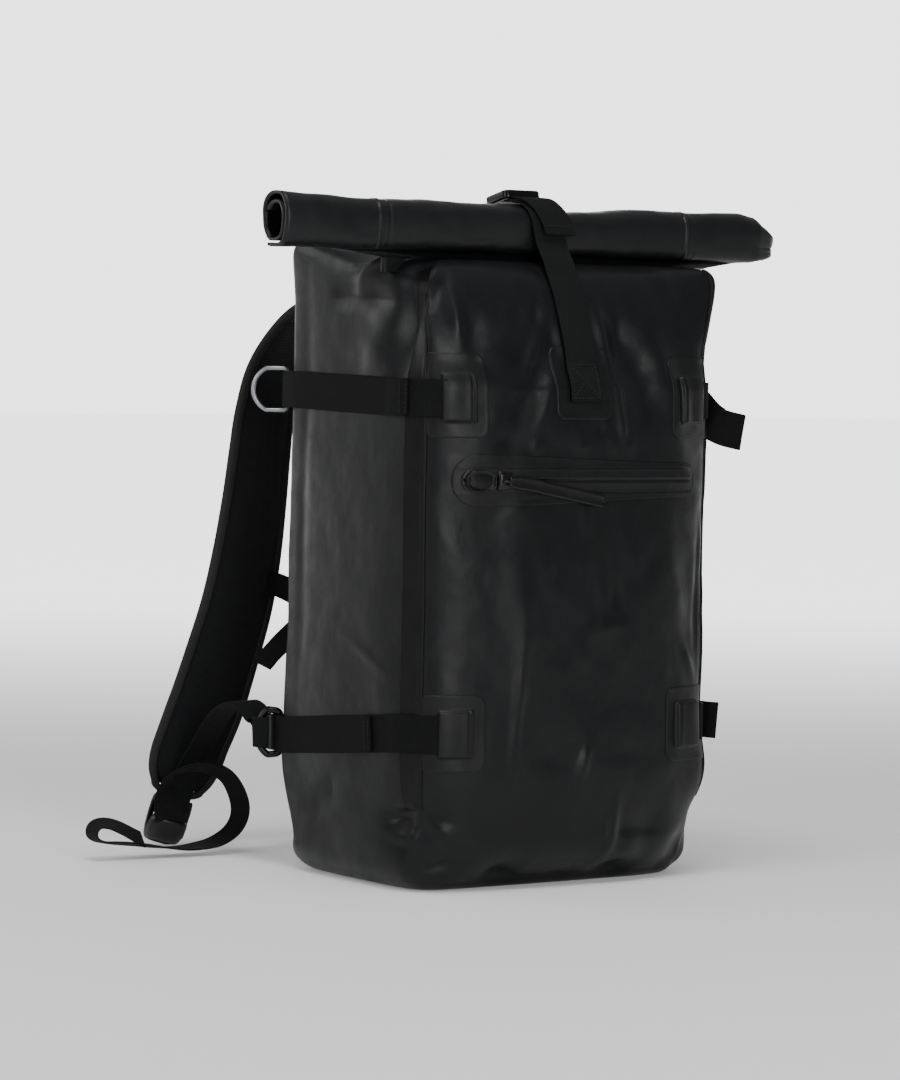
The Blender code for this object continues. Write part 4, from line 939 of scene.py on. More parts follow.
def side_band(level, word, side, z_front, z_back, over, tail=(), radius=0.0032):
    path = [Vector(p) for p in tail]
    path += [skin_at(side * s, strap_z(s, z_front, z_back), off + WEB_THIN / 2) for s, off in over]
    c = bar_centre(side, z_back)
    for deg in range(-62, 129, 19):
        a = BAR_ANGLE + radians(deg)
        path.append(c + Vector((side * cos(a), sin(a), 0)) * radius)
    path.append(skin_at(side * (S_ARC + BACK_RADIUS * radians(86)), z_back, 0.0016))
    frames = web_frames(path, UP)
    name, node = "%s_side_strap_%s" % (level, word), "%s_band_%s" % (level, word)
    web(name, frames, WEB, WEBBING, node, hems=[(0.0, 0.0085, 0.0012)])
    lift = facing(frames, 0.05, WEB_THIN / 2 + 0.0007, RIGHT * side)
    threads(name + "_stitching", [[on_web(frames, run, w, lift)
                                   for w in np.linspace(-STITCH_HALF, STITCH_HALF, 6)]
                                  for run in (0.0016, 0.0068)])


middle = [(S_SIDE + 0.046, 0.0008), (S_TIP, 0.0008), (S_TIP + 0.028, 0.0008),
          (S_TIP + 0.056, 0.0008), (S_ARC, 0.0008)]
upper_over = [(S_SIDE - 0.006, 0.0048), (S_SIDE, 0.0050), (S_SIDE + 0.012, 0.0046),
              (S_SIDE + 0.024, 0.0014)] + middle
lower_over = [(S_SIDE + 0.030, 0.0036), (S_SIDE + 0.046, 0.0032), (S_TIP, 0.0012),
              (S_TIP + 0.028, 0.0012), (S_TIP + 0.056, 0.0012), (S_ARC, 0.0012)]
side_band("upper", "left", -1, UPPER_Z, UPPER_BACK_Z, upper_over)
side_band("lower", "left", -1, LOWER_Z, LOWER_BACK_Z, lower_over, radius=0.0047)
side_band("upper", "right", 1, UPPER_Z - 0.005, UPPER_BACK_Z,
          [(S_SIDE + 0.006, 0.0070), (S_SIDE + 0.012, 0.0062), (S_SIDE + 0.024, 0.0026)] + middle,
          tail=[(0.1860, -0.0880, 0.3630), (0.1660, -0.0880, 0.3670), (0.1560, -0.0865, 0.3720)])
side_band("lower", "right", 1, LOWER_Z, LOWER_BACK_Z,
          [(S_SIDE + 0.006, 0.0060), (S_SIDE + 0.018, 0.0048)] + lower_over,
          tail=[(0.1625, -0.0905, 0.1250), (0.1565, -0.0875, 0.1255)], radius=0.0047)


# Rings in the side straps
def loop_points(bar_half, corner, arc_x, arc_rx, arc_rz, most):
    """Half-oval outline: straight bar at 0, out to a rounded front."""
    pts = [(0.0, lerp(-bar_half + corner, bar_half - corner, k / 6)) for k in range(7)]
    pts += [(corner - corner * cos(radians(a)), bar_half - corner + corner * sin(radians(a)))
            for a in (22, 45, 68)]
    arc = [(arc_x + arc_rx * cos(radians(a)), arc_rz * sin(radians(a)))
           for a in range(most, -most - 1, -4)]
    pts.append(((pts[-1][0] + arc[0][0]) / 2, (pts[-1][1] + arc[0][1]) / 2 + 0.0001))
    pts += arc
    pts.append((pts[10][0], -pts[10][1]))
    pts += [(corner - corner * cos(radians(a)), -bar_half + corner - corner * sin(radians(a)))
            for a in (68, 45, 22)]
    return pts


for side, word in SIDES:
    away, behind = away_from(side)
    ring, loop = ([bar_centre(side, z) + away * x + UP * up for x, up in loop_points(*shape)]
                  for z, shape in ((UPPER_BACK_Z, (0.0175, 0.004, 0.0075, 0.0205, 0.0195, 62)),
                                   (LOWER_BACK_Z, (0.0182, 0.0045, 0.0040, 0.0150, 0.0205, 66))))
    tube("steel_d_ring_" + word, ring, BAR_RADIUS, STEEL, "d_ring_" + word, closed=True,
         body="ring_" + word)
    tube("moulded_side_loop_" + word, loop, 0.0029, GLOSS, "side_loop_" + word, closed=True,
         flat=(behind * side, 1.5))

# Flat inner flange of each moulded loop, in a lighter plastic: a painted highlight on the black
# loop
FLANGE = metres([
    # outward, back,  half height
    (3.6, -1, 15), (3.6, 1.4, 15.4), (6, 2.2, 15.2), (10, 1.6, 14.3), (13.5, -0.4, 13),
    (14.2, -1.8, 12.4), (10, -1.8, 13.8), (3.6, -1.6, 14.8),
])
for side, word in SIDES:
    away, behind = away_from(side)
    c = bar_centre(side, LOWER_BACK_Z)
    rows = [[c + away * x + behind * y + UP * (half * u)
             for u in (-1, -0.97, -0.9, 0, 0.9, 0.97, 1)] for x, y, half in FLANGE]
    surface("loop_flange_" + word, rows + rows[:1], FACET_PAINTED_HIGHLIGHT)


# Zip
def stadium(name, x0, x1, r0, r1, base, thick, mat, node, height):
    """Long patch with round ends on the front of the sack."""
    stations = [(x0 + r0 - r0 * sin(radians(a)), r0 * cos(radians(a))) for a in range(90, 0, -6)]
    for s in spread(x0 + r0, x1 - r1, 0.0022):
        stations.append((s, lerp(r0, r1, ease((s - x0 - r0) / (x1 - r1 - x0 - r0)))))
    stations += [(x1 - r1 + r1 * sin(radians(a)), r1 * cos(radians(a))) for a in range(6, 91, 6)]
    cross = [-1, -0.985, -0.95, -0.9, -0.8, -0.68, -0.54, -0.4, -0.27, -0.15, -0.06, 0.0]
    cross += [-t for t in reversed(cross[:-1])]
    rows = []
    for s, half_high in stations:
        row = []
        end = min(s - x0, x1 - s)
        for t in cross:
            near = min((1 - abs(t)) * half_high + end * 0.2, end)
            h = base - 0.0012
            if abs(t) < 1 and end >= 1e-9:
                h = (base + thick * ease(near / (thick * 1.2) + 0.3)
                     + height(t * half_high, near))
            row.append(skin(s, ZIP_Z + t * half_high, h))
        rows.append(row)
    surface(name, rows, mat, node, flip=True)


def patch_relief(dz, near):
    return 0.0002 * hump(near - 0.0016, 0.0009) + 0.0005 * hump(abs(dz) - 0.0108, 0.0009)


def tape_relief(dz, near):
    groove, lips = -0.0009 * hump(dz, 0.0007), 0.0004 * hump(abs(dz) - 0.0022, 0.0011)
    return groove + lips - 0.0003 * ease((abs(dz) - 0.0045) / 0.003)


def garage_relief(dz, near):
    return 0.0010 * hump(near - 0.0012, 0.0009) - 0.0010 * ease((near - 0.0022) / 0.0014)


stadium("zip_surround", -0.1190, 0.1195, 0.0205, 0.0140, 0.0001, 0.0010, WELD, "zip_patch",
        patch_relief)
stadium("zip_tapes", -0.1120, 0.1110, 0.0092, 0.0092, 0.0014, 0.0014, ZIP_CLOTH, "zip_tape",
        tape_relief)
stadium("zip_end_cover", -0.1095, -0.0835, 0.0080, 0.0080, 0.0028, 0.0028, GLOSS, "zip_garage",
        garage_relief)


def slider():
    rows = []
    for s, h in ((-0.0832, 0.0), (-0.0828, 0.7), (-0.0815, 1.0), (-0.0790, 1.0), (-0.0770, 0.82),
                 (-0.0745, 0.78), (-0.0720, 0.72), (-0.0708, 0.5), (-0.0704, 0.0)):
        wide = 0.0076 - 0.0012 * ease((s + 0.081) / 0.010)
        row = []
        for t in (-1.0, -0.97, -0.85, -0.6, -0.3, 0.0, 0.3, 0.6, 0.85, 0.97, 1.0):
            top = 0.0036 * h * (1 - abs(t) ** 4 * 0.6)
            row.append(skin(s, ZIP_Z + t * wide, 0.0028 + (top if abs(t) < 1 else -0.001)))
        rows.append(row)
    surface("zip_slide_body", rows, PLASTIC, "zip_slider", flip=True)
    arch = [skin(lerp(-0.0800, -0.0715, k / 8), ZIP_Z - 0.0006, 0.0060 + 0.0026 * sin(pi * k / 8))
            for k in range(9)]
    tube("zip_slide_bail", arch, 0.0010, PLASTIC)


slider()

PULL_SECTION = [
    (1.0, 0.0), (0.94, 0.7), (0.80, 1.0), (0.62, 0.86), (0.0, 0.80), (-0.62, 0.86), (-0.80, 1.0),
    (-0.94, 0.7), (-1.0, 0.0), (-0.94, -0.7), (-0.80, -1.0), (0.0, -0.9), (0.80, -1.0),
    (0.94, -0.7)]


def zip_pull():
    path = [skin(*at) for at in (
        (-0.0745, 0.3244, 0.0074), (-0.0692, 0.3238, 0.0062), (-0.0560, 0.3222, 0.0062),
        (-0.0400, 0.3190, 0.0058), (-0.0240, 0.3160, 0.0052), (-0.0060, 0.3125, 0.0046),
        (0.0165, 0.3082, 0.0040))]
    frames = web_frames(path, Vector((0.2, 0, 1)), 0.0012)
    long, rows = frames[-1][0], []
    for run, p, w, n in frames:
        wide = 0.0052 * (0.72 + 0.28 * ease(run / 0.008))
        wide *= sqrt(max(0.05, 1 - clamp((run - long + 0.0014) / 0.0014) ** 2))
        thick = 0.0012 + 0.0004 * ease((run - long + 0.032) / 0.004)
        if run > long - 0.026:
            thick += 0.0003 * sin((run - long) / 0.0024 * 2 * pi)      # grip ribs
        rows.append([p + w * (wide * u) + n * (thick * q) for u, q in PULL_SECTION])
    surface("zip_pull_tab", capped(rows), PLASTIC, "zip_pull", ring=True)


zip_pull()


# Roll
ROLL_SHAPE = [
    # share, height, depth, lift,   back
    (0.000, 1.05, 0.96, 0.0000, 0.0000),
    (0.050, 1.01, 1.00, 0.0004, 0.0000),
    (0.150, 0.99, 1.00, 0.0000, 0.0000),
    (0.420, 0.99, 1.00, 0.0000, 0.0000),
    (0.500, 0.98, 1.00, 0.0000, 0.0000),
    (0.530, 0.89, 0.98, 0.0000, 0.0000),
    (0.560, 0.88, 0.98, 0.0000, 0.0000),
    (0.600, 0.92, 1.00, 0.0000, 0.0000),
    (0.720, 0.98, 1.00, 0.0000, 0.0000),
    (0.930, 1.00, 1.00, 0.0000, 0.0000),
    (0.960, 0.93, 0.99, 0.0004, 0.0004),
    (0.985, 0.74, 0.90, 0.0022, 0.0016),
    (1.000, 0.56, 0.80, 0.0042, 0.0030),
]
TURNS = 1.75


def roll_line(turn):
    """Place on the rolled line in shares of its half sizes, and the angle there."""
    k = keyed([(0.0, 1.0), (0.70, 1.0), (1.0, 0.785), (1.75, 0.63)], turn)
    angle = radians(-62) - turn * 2 * pi
    return signed_power(cos(angle), 2 / 2.7) * k, signed_power(sin(angle), 2 / 2.7) * k, angle


def roll_crease(share, angle, turn):
    """Small swellings and creases of the rolled cloth, in metres outward."""
    a = (angle + 2 * pi) % (2 * pi)
    total = noise.noise(Vector((share * 9.0, cos(a) * 0.9, sin(a) * 0.9 + 5.0))) * 0.0012
    total += noise.noise(Vector((share * 34.0, cos(a) * 2.2 + 3.0, sin(a) * 2.2))) * 0.0004
    if turn < 1.0:
        for at, width, high in ((0.184, 0.0018, 0.0008), (0.203, 0.0036, -0.0004),
                                (0.806, 0.0018, 0.0007), (0.822, 0.0036, -0.0004)):
            x = share - at - 0.006 * cos(a - 0.6) - 0.002 * sin(2 * a)
            total += high * hump(x, width)
        # long soft flats pressed along the front
        total -= 0.0010 * hump(a - 3.45, 0.34) * ease((share - 0.05) / 0.1)
        total += 0.0005 * hump(a - 4.10, 0.22)
        # creases that run in from the squeezed end
        for at, wide, depth in ((3.3, 0.16, -0.0016), (2.7, 0.14, 0.0010), (3.9, 0.14, 0.0012),
                                (4.4, 0.12, -0.0010)):
            total += depth * hump(a - at, wide) * ease((share - 0.93) / 0.07)
    return total


def roll():
    shares = sorted(list(np.linspace(0, 1, 130)) + list(np.linspace(0.1705, 0.2155, 40))
                    + list(np.linspace(0.7925, 0.8365, 40)))
    turns = list(np.linspace(0, TURNS, 176))
    outer, inner = [], []
    for share in shares:
        high, deep, lift, back = (keyed([(r[0], r[q]) for r in ROLL_SHAPE], share)
                                  for q in (1, 2, 3, 4))
        x = lerp(ROLL_LEFT, ROLL_RIGHT, share)
        ry = (ROLL_DEPTH * deep - ROLL_WALL) / 2
        rz = (ROLL_HEIGHT * high - ROLL_WALL) / 2
        low = ROLL_Z - ROLL_HEIGHT / 2 + ROLL_WALL / 2
        mids = []
        for turn in turns:
            y, z, angle = roll_line(turn)
            bump = roll_crease(share, angle, turn)
            mids.append(Vector((x, NECK_Y + y * ry + back + cos(angle) * bump,
                                max(low + rz + z * rz + lift + sin(angle) * bump, low))))
        tans = tangents(mids)
        rows_o, rows_i = [], []
        for k, (p, t) in enumerate(zip(mids, tans)):
            n = Vector((0, -t.z, t.y))
            n = n if n.dot(p - Vector((x, NECK_Y, low + rz))) > 0 else -n
            half = ROLL_WALL / 2 * min(1.0, 0.35 + turns[k] / 0.01)
            rows_o.append(p + n * half)
            rows_i.append(p - n * half)
        outer.append(rows_o)
        inner.append(rows_i)
    n, m = len(shares), len(turns)
    verts = [p[:] for row in outer for p in row] + [p[:] for row in inner for p in row]
    faces, k = [], n * m
    for i in range(n - 1):
        for j in range(m - 1):
            a = i * m + j
            faces.append((a, a + 1, a + m + 1, a + m))
            faces.append((k + a, k + a + m, k + a + m + 1, k + a + 1))
        a = i * m
        faces.append((a, a + m, k + a + m, k + a))
        b = a + m - 1
        faces.append((b, k + b, k + b + m, b + m))
    for j in range(m - 1):
        faces.append((j, k + j, k + j + 1, j + 1))
        b = (n - 1) * m + j
        faces.append((b, b + 1, k + b + 1, k + b))
    mesh = bpy.data.meshes.new("rolled_cloth")
    mesh.from_pydata(verts, [], faces)
    mesh.update()
    finish_piece("rolled_cloth", mesh, ROLL_CLOTH, "roll_top")


roll()


# Closure
def closure_relief():
    s0, s1, z0, z1, r = -0.0275, 0.0270, 0.3730, SHOULDER_Z + 0.0110, 0.008
    us = [0.0, 0.01, 0.03] + [lerp(0.06, 0.94, k / 30) for k in range(31)] + [0.97, 0.99, 1.0]
    vs = [0.0, 0.008, 0.02] + [lerp(0.05, 0.95, k / 34) for k in range(35)] + [0.98, 0.992, 1.0]

    def at(u, v, border):
        z = lerp(z0, z1, v)
        edge = min(z - z0, z1 - z)
        cut = corner_cut(edge, r)
        s = lerp(s0 + cut, s1 - cut, u)
        near = min(edge, s - s0 - cut, s1 - cut - s)
        return skin_at(s, z, SUNK if border else 0.0009 + 0.0003 * hump(near - 0.002, 0.001))

    surface("closure_weld_patch", relief(us, vs, at), WELD, "closure_patch")


closure_relief()
strap_off = 0.0023 + WEB_THIN / 2
closure_path = [skin_at(0.0, z, strap_off + more) for z, more in (
    (0.3870, 0.0), (0.3950, 0.0), (0.4040, 0.0), (0.4120, 0.0), (SHOULDER_Z, 0.0002),
    (0.4310, 0.0002), (0.4440, 0.0), (0.4600, -0.0006), (0.4750, -0.0006), (0.4870, 0.0002))]
closure_path += [Vector(p) for p in (
    (0.0000, -0.0835, 0.4980), (-0.0005, -0.0770, 0.5080), (-0.0015, -0.0730, 0.5180),
    (-0.0030, -0.0718, 0.5280), (-0.0055, -0.0692, 0.5385), (-0.0085, -0.0620, 0.5452),
    (-0.0110, -0.0532, 0.5474), (-0.0110, -0.0470, 0.5490))]
closure_frames = web_frames(closure_path, RIGHT, square=False)
web("closure_webbing", closure_frames, WEB, LIT_WEBBING, "closure_strap")
front_lift = facing(closure_frames, 0.02, WEB_THIN / 2 + 0.0001, FORWARD)


def box_runs(frames, r0, r1, half, lift, steps=6):
    """Runs of a sewn box with a cross in it."""
    corners = [(r0, -half), (r0, half), (r1, half), (r1, -half), (r0, -half)]
    lines = list(zip(corners, corners[1:]))
    lines += [((r0, -half), (r1, half)), ((r0, half), (r1, -half))]
    return [[on_web(frames, lerp(a[0], b[0], k / steps), lerp(a[1], b[1], k / steps), lift)
             for k in range(steps + 1)] for a, b in lines]


threads("closure_box_stitch", box_runs(closure_frames, 0.0030, 0.0310, STITCH_HALF, front_lift))

tail_path = [Vector(p) for p in (
    (0.0065, -0.0765, 0.5205), (0.0045, -0.0752, 0.5280), (0.0015, -0.0736, 0.5350),
    (-0.0025, -0.0702, 0.5422), (-0.0070, -0.0632, 0.5486), (-0.0110, -0.0542, 0.5504))]
tail_frames = web_frames(tail_path, RIGHT, 0.0015, square=False)
web("closure_loose_end", tail_frames, WEB, LIT_WEBBING, "closure_tail",
    hems=[(0.0, 0.009, 0.0010)])
lift = facing(tail_frames, 0.004, 0.0015, FORWARD)
threads("closure_loose_end_stitch", [[on_web(tail_frames, 0.0075, w, lift) for w in
                                      np.linspace(-STITCH_HALF, STITCH_HALF, 5)]])

tip = radians(-12)
plate("closure_buckle_frame", round_box(0.0340, 0.0290, 0.0040),
      [[(x, y + 0.0075) for x, y in round_box(0.0270, 0.0048, 0.0014)],
       [(x, y - 0.0060) for x, y in round_box(0.0270, 0.0048, 0.0014)]],
      0.0036, 0.0014, (-0.0110, -0.0335, 0.5505), (1, 0, 0), (0, cos(tip), sin(tip)),
      GLOSS, "closure_buckle")

back_path = [Vector((-0.0110, -0.0162, 0.5465)), Vector((-0.0080, 0.0100, 0.5385)),
             Vector((-0.0030, 0.0500, 0.5170)), Vector((0.0, 0.0810, 0.4990)),
             Vector((0.0, 0.0925, 0.4890))]
back_path += [skin(S_END, SHOULDER_Z + up, off)
              for up, off in ((0.033, 0.0028), (0.016, 0.0020), (0.0, 0.0018))]
web("closure_back_webbing", web_frames(back_path, RIGHT), WEB, WEBBING, "closure_strap_back")


# Back panel pad
PAD_ROWS = metres([
    # height, half width as a share of the body's width, stand out
    (42, 0.336, 4), (48, 0.413, 10), (62, 0.451, 14), (85, 0.437, 15), (130, 0.392, 14),
    (200, 0.371, 13), (280, 0.364, 14), (360, 0.357, 15), (398, 0.343, 13), (414, 0.301, 9),
    (419, 0.245, 4),
], keep=(1,))


def back_pad():
    half_widths, heights = ([(r[0], r[q]) for r in PAD_ROWS] for q in (1, 2))
    zs = [0.0420, 0.0422, 0.0428] + [lerp(0.044, 0.417, k / 120) for k in range(121)]
    zs += [0.4182, 0.4188, 0.4190]

    def at(u, z, border):
        half_w = BODY_WIDTH * keyed(half_widths, z)
        s = (S_END - half_w * abs(u)) * (1 if u >= 0 else -1)
        if border:
            return skin_at(s, z, -0.0004)
        round_off = sqrt(max(0.0, 1 - abs(u) ** 8))
        channel = 0.0045 * hump(abs(u) * half_w - 0.032, 0.006) + 0.0030 * hump(z - 0.235, 0.005)
        return skin_at(s, z, 0.0010 + max(
            0.0015, keyed(heights, z) * round_off * 0.98 - channel * round_off))

    surface("back_cushion", relief([-1 + 2 * k / 60 for k in range(61)], zs, at), MESH,
                      "back_pad")


back_pad()

# Shoulder straps
STRAP_PATH = metres([
    # x,      y,     z,     turn
    (-56, 106.2, 433, 0), (-59, 111.8, 448, 2), (-64.5, 124.5, 460.5, 8), (-69.5, 146, 465, 13),
    (-77, 176, 449, 16), (-85, 206, 415, 16), (-90.5, 217, 376, 15), (-95.5, 217.5, 337, 13),
    (-100.5, 217, 297, 10), (-107, 217.5, 252, 5), (-114.5, 220.5, 209, 0),
    (-122.5, 230, 166, -5), (-131, 243, 120, -10), (-140, 255, 82, -15),
    (-147.5, 261.5, 50, -16),
], keep=(3,))
PAD_TURNS = {0: 0.80, 1: 0.88, 2: 0.94, 13: 0.94, 14: 0.72}


def coarse_frames(side):
    """Centre, direction along, across and face direction at each row of the path."""
    path = [Vector((-side * x, y, z)) for x, y, z, _ in STRAP_PATH]
    frames = []
    for p, t, row in zip(path, tangents(path), STRAP_PATH):
        turn = radians(row[3])
        across = square_to((cos(turn), -side * sin(turn), 0), t)
        frames.append((p, t, across, t.cross(across).normalized()))
    return frames


def strap_frames(side, step=0.004):
    """Smooth stations: centre, across, face direction, half width, row number, along."""
    coarse = coarse_frames(side)
    path, keys = spline([f[0] for f in coarse], step)
    half = [(i, PAD_WIDE / 2 * PAD_TURNS.get(i, 1.0)) for i in range(15)]
    out = []
    for p, t, k in zip(path, tangents(path), keys):
        m = min(int(k), len(coarse) - 2)
        across = square_to(coarse[m][2].lerp(coarse[m + 1][2], k - m), t)
        foot = clamp((k - 13.2) / 0.8)
        wide = lerp(keyed(half, k), PAD_WIDE / 2 * (0.94 - 0.30 * foot ** 2), clamp(k - 12.8))
        out.append((p, across, t.cross(across).normalized(), wide, k, t))
    return out


# Section of the folded edge tape: outward, along the face direction
TAPE_SECTION = metres([
    (2.8, 0), (2.4, 2), (0.8, 3.1), (-1.6, 3.4), (-3.8, 3.7), (-4.2, 2.8), (-3.8, 0),
    (-4.2, -2.8), (-3.8, -3.7), (-1.6, -3.4), (0.8, -3.1), (2.4, -2),
])


def shoulder_strap(side, word):
    frames = strap_frames(side)
    rows = []
    for p, a, n, half, k, t in frames:
        ht = PAD_THICK / 2 * (0.35 + 0.65 * ease(min(k, 14 - k) / 0.35))
        row = []
        for q in range(40):
            g = 2 * pi * q / 40
            u, w = signed_power(cos(g), 0.55), signed_power(sin(g), 0.70)
            puff = 1.0 - 0.10 * hump(abs(u) - 0.80, 0.07)
            dent = 0.0
            for at, off in ((12.55, 0.10), (12.80, -0.12)):       # two sewn tacks
                d = ((k - at) / 0.10) ** 2 + ((u - off) / 0.22) ** 2
                if d < 6:
                    dent += 0.0016 * 2.718281828 ** -d
            row.append(p + a * (half * u) + n * (ht * w * puff - dent * (1 if w > 0 else -1)))
        rows.append(row)
    ends = [[frames[k][0]] * 40 for k in (0, -1)]
    surface("shoulder_strap_pad_" + word, [ends[0]] + rows + [ends[1]], MESH,
                      "shoulder_pad_" + word, ring=True)
    # folded edge tape round the pad, open at the sewn top: point, face direction, outward
    gap = 0.0016
    edge = [(p + a * (half + gap), n, a) for p, a, n, half, k, t in frames[1:]]
    p, a, n, half, k, t = frames[-1]
    for d in range(75, -76, -15):
        g = radians(d)
        edge.append((p + t * (0.0070 * cos(g)) + a * ((half + gap) * sin(g)), n,
                     (t * cos(g) + a * sin(g)).normalized()))
    edge += [(p - a * (half + gap), n, -a) for p, a, n, half, k, t in reversed(frames[1:])]
    rows = [[p + out * u + n * q for u, q in TAPE_SECTION] for p, n, out in edge]
    node = "shoulder_binding_" + word
    surface("strap_edge_tape_" + word, capped(rows), BINDING, node, ring=True)
    runs = [[p - out * 0.0026 + n * (0.0037 * face) for p, n, out in edge] for face in (1, -1)]
    threads("strap_edge_stitch_" + word, runs, long=0.0026, gap=0.0012)


for side, word in SIDES:
    shoulder_strap(side, word)

# Flat anchors of the strap tops
for side, word in SIDES:
    ss = [side * (S_END - 0.057) + 0.030 * u
          for u in (-1, -0.98, -0.9, -0.5, 0, 0.5, 0.9, 0.98, 1)]
    zs = [0.4255, 0.4262, 0.4280, 0.4330, 0.4390, 0.4450, 0.4520, 0.4552, 0.4560]
    surface("strap_anchor_web_" + word, relief(ss, zs, lambda s, z, border: skin_at(
        s, z, SUNK if border else 0.0024)), WEBBING, "strap_anchor_" + word)


# Ladder locks at the strap feet, their tabs and the adjuster webbing
LOCK_DROP = 0.0105


LOCK_OUTLINE = metres([
    (16.4, 0), (17.2, 1.2), (17.7, 6), (17.8, 12), (17.7, 20), (17.2, 28), (16.4, 33), (15, 36),
    (12.8, 38.2), (10, 39.3), (6, 39.7),
])
LOCK_LIP = metres([
    # along, outward, half width
    (16.8, 14, 15), (16.5, 15.2, 15.2), (17.2, 16, 15.6), (20, 15.8, 16.4), (25, 14.2, 17.1),
    (30, 11.4, 17.2), (34.5, 7.8, 16.6), (38, 4, 15), (39.6, 1.2, 12.8), (39.8, -1, 12),
])
LIP_UNDER = metres([
    (39.8, -1.4, 11.6), (37, 1.6, 14), (30, 9.2, 15.8), (20, 13.6, 15), (17, 13.6, 14.6),
])
LIP_STEPS = (0.5, 0.80, 0.90, 0.96, 0.99, 1)


def lock_frame(side):
    p, t, a, n = coarse_frames(side)[-1]
    return p + t * LOCK_DROP, t, a, n if n.y < 0 else -n


def lock_point(side, along, out, across=0.0):
    o, t, a, f = lock_frame(side)
    return o + t * along + f * out + a * across


for side, word in SIDES:
    o, t, a, f = lock_frame(side)
    outline = [(-LOCK_OUTLINE[0][0], 0.0)] + LOCK_OUTLINE
    outline += [(-x, y) for x, y in reversed(LOCK_OUTLINE[1:])]
    holes = [[(x, y + c) for x, y in round_box(0.0290, 0.0058, 0.0014)]
             for c in (0.0070, 0.0172, 0.0275)]
    plate("ladder_lock_frame_" + word, outline, holes, 0.0026, 0.0010, o, a, t, GLOSS,
          "ladder_lock_" + word)
    lip = [[lock_point(side, along, out - (abs(u) ** 14) * min(out + 0.0010, 0.0100)
                       - 0.0006 * u * u, half * u)
            for u in [-v for v in reversed(LIP_STEPS)] + [0] + list(LIP_STEPS)]
           for along, out, half in LOCK_LIP]
    under = [[lock_point(side, along, out, w) for w in np.linspace(-half, half, 13)]
             for along, out, half in LIP_UNDER]
    surface("ladder_lock_lip_" + word, lip + under + [lip[0]], PLASTIC, flip=side > 0)
    tab = [lock_point(side, x, y) for x, y in (
        (-0.0160, -0.0053), (-0.0050, -0.0051), (0.0022, -0.0043), (0.0058, -0.0039),
        (0.0071, 0.0000), (0.0058, 0.0041), (0.0010, 0.0047), (-0.0025, 0.0047))]
    web("lock_tab_web_" + word, web_frames(tab, a, 0.0015), 0.0260, WEBBING, "lock_tab_" + word)

RING_TURN = metres([
    # outward from the ring bar, back from the ring's plane
    (9.2, -4.2), (14, -4.6), (19, -4.6), (21.7, -3.8), (23.4, -1.6), (23.5, 1.2), (22.2, 4.6),
    (19.5, 8),
])
ARCH = metres([
    # x,      y,     z,     width along x, along y, along z
    (-147, 129, 119, 0.7, 0.2, 0.7), (-146, 137, 126, 0.95, 0.1, 0.3),
    (-148, 150, 132.5, 1, 0, 0), (-148, 169, 129, 1, 0, 0), (-145.5, 192, 119, 1, 0, 0),
    (-143, 214, 103, 1, 0, 0), (-143, 234, 83, 1, 0, 0), (-146, 246, 65, 1, 0, 0),
], keep=(3, 4, 5))
TAIL = metres([
    # x,      y,     z,     how far the width opens from the line of sight, degrees
    (-169, 244, 39, 50), (-174, 239, 52, 22), (-170, 233, 63.5, 10), (-157, 227, 69.5, 18),
    (-142, 222, 70.5, 28), (-128, 214, 64, 38), (-120.5, 207, 49, 43), (-120.5, 201, 33, 42),
    (-130, 197, 19.5, 34), (-147, 195, 10.5, 22), (-164, 195, 7.4, 10), (-181, 195.5, 6.4, 0),
    (-200, 198, 8, -10), (-219, 200, 11, -14), (-243, 201, 14, -15), (-258, 201, 16.5, -16),
    (-264, 201, 22, -18), (-261, 201, 29, -18), (-251, 200, 30.5, -16), (-237, 199, 26, -14),
    (-225, 198, 19.5, -14), (-217, 197.5, 15.5, -14),
], keep=(3,))
LOCK_WAY = metres([
    # through the bars of the lock: along it, outward
    (15, 6), (16.8, 1.6), (17.4, -3.4), (19.6, -5.6), (24.8, -5.6), (27, -3.4), (27.8, 1.6),
    (28.4, 5.6), (27, 9.8), (19, 12.8),
])


def adjuster(word, side):
    c = bar_centre(side, LOWER_BACK_Z)
    away, behind = away_from(side)
    start = [c + away * e + behind * q for e, q in RING_TURN]
    tail = [Vector((-side * x, y, z)) for x, y, z, _ in TAIL]
    path = start + [Vector((-side * x, y, z)) for x, y, z, _, _, _ in ARCH]
    path += [lock_point(side, x, y) for x, y in LOCK_WAY] + tail
    a = lock_frame(side)[2]
    sight = Vector((-side * SIGHT.x, SIGHT.y, 0))
    across = [UP] * len(start)
    across += [Vector((-side * wx, wy, wz)) for _, _, _, wx, wy, wz in ARCH]
    across += [a if a.x * -side > 0 else -a] * len(LOCK_WAY)
    for t, row in zip(tangents(tail), TAIL):
        level = square_to(sight, t)
        outside = level.cross(t) * -side
        across.append(level * cos(radians(row[3])) + outside * sin(radians(row[3])))
    for i in range(1, len(across)):
        if across[i].dot(across[i - 1]) < 0:
            across[i] = -across[i]
    frames = relaxed(web_frames(path, across, 0.002), 24)
    node = "adjuster_webbing_" + word
    web("adjuster_web_" + word, frames, LOOP_WEB, LIT_WEBBING, node, thick=0.0014)
    end = frames[-1][0]
    threads("adjuster_loop_stitch_" + word,
            [[on_web(frames, end - back, w, lift) for w in np.linspace(-0.0105, 0.0105, 5)]
             for lift in (0.0008, -0.0008) for back in (0.0015, 0.0060)])


for side, word in SIDES:
    adjuster(word, side)

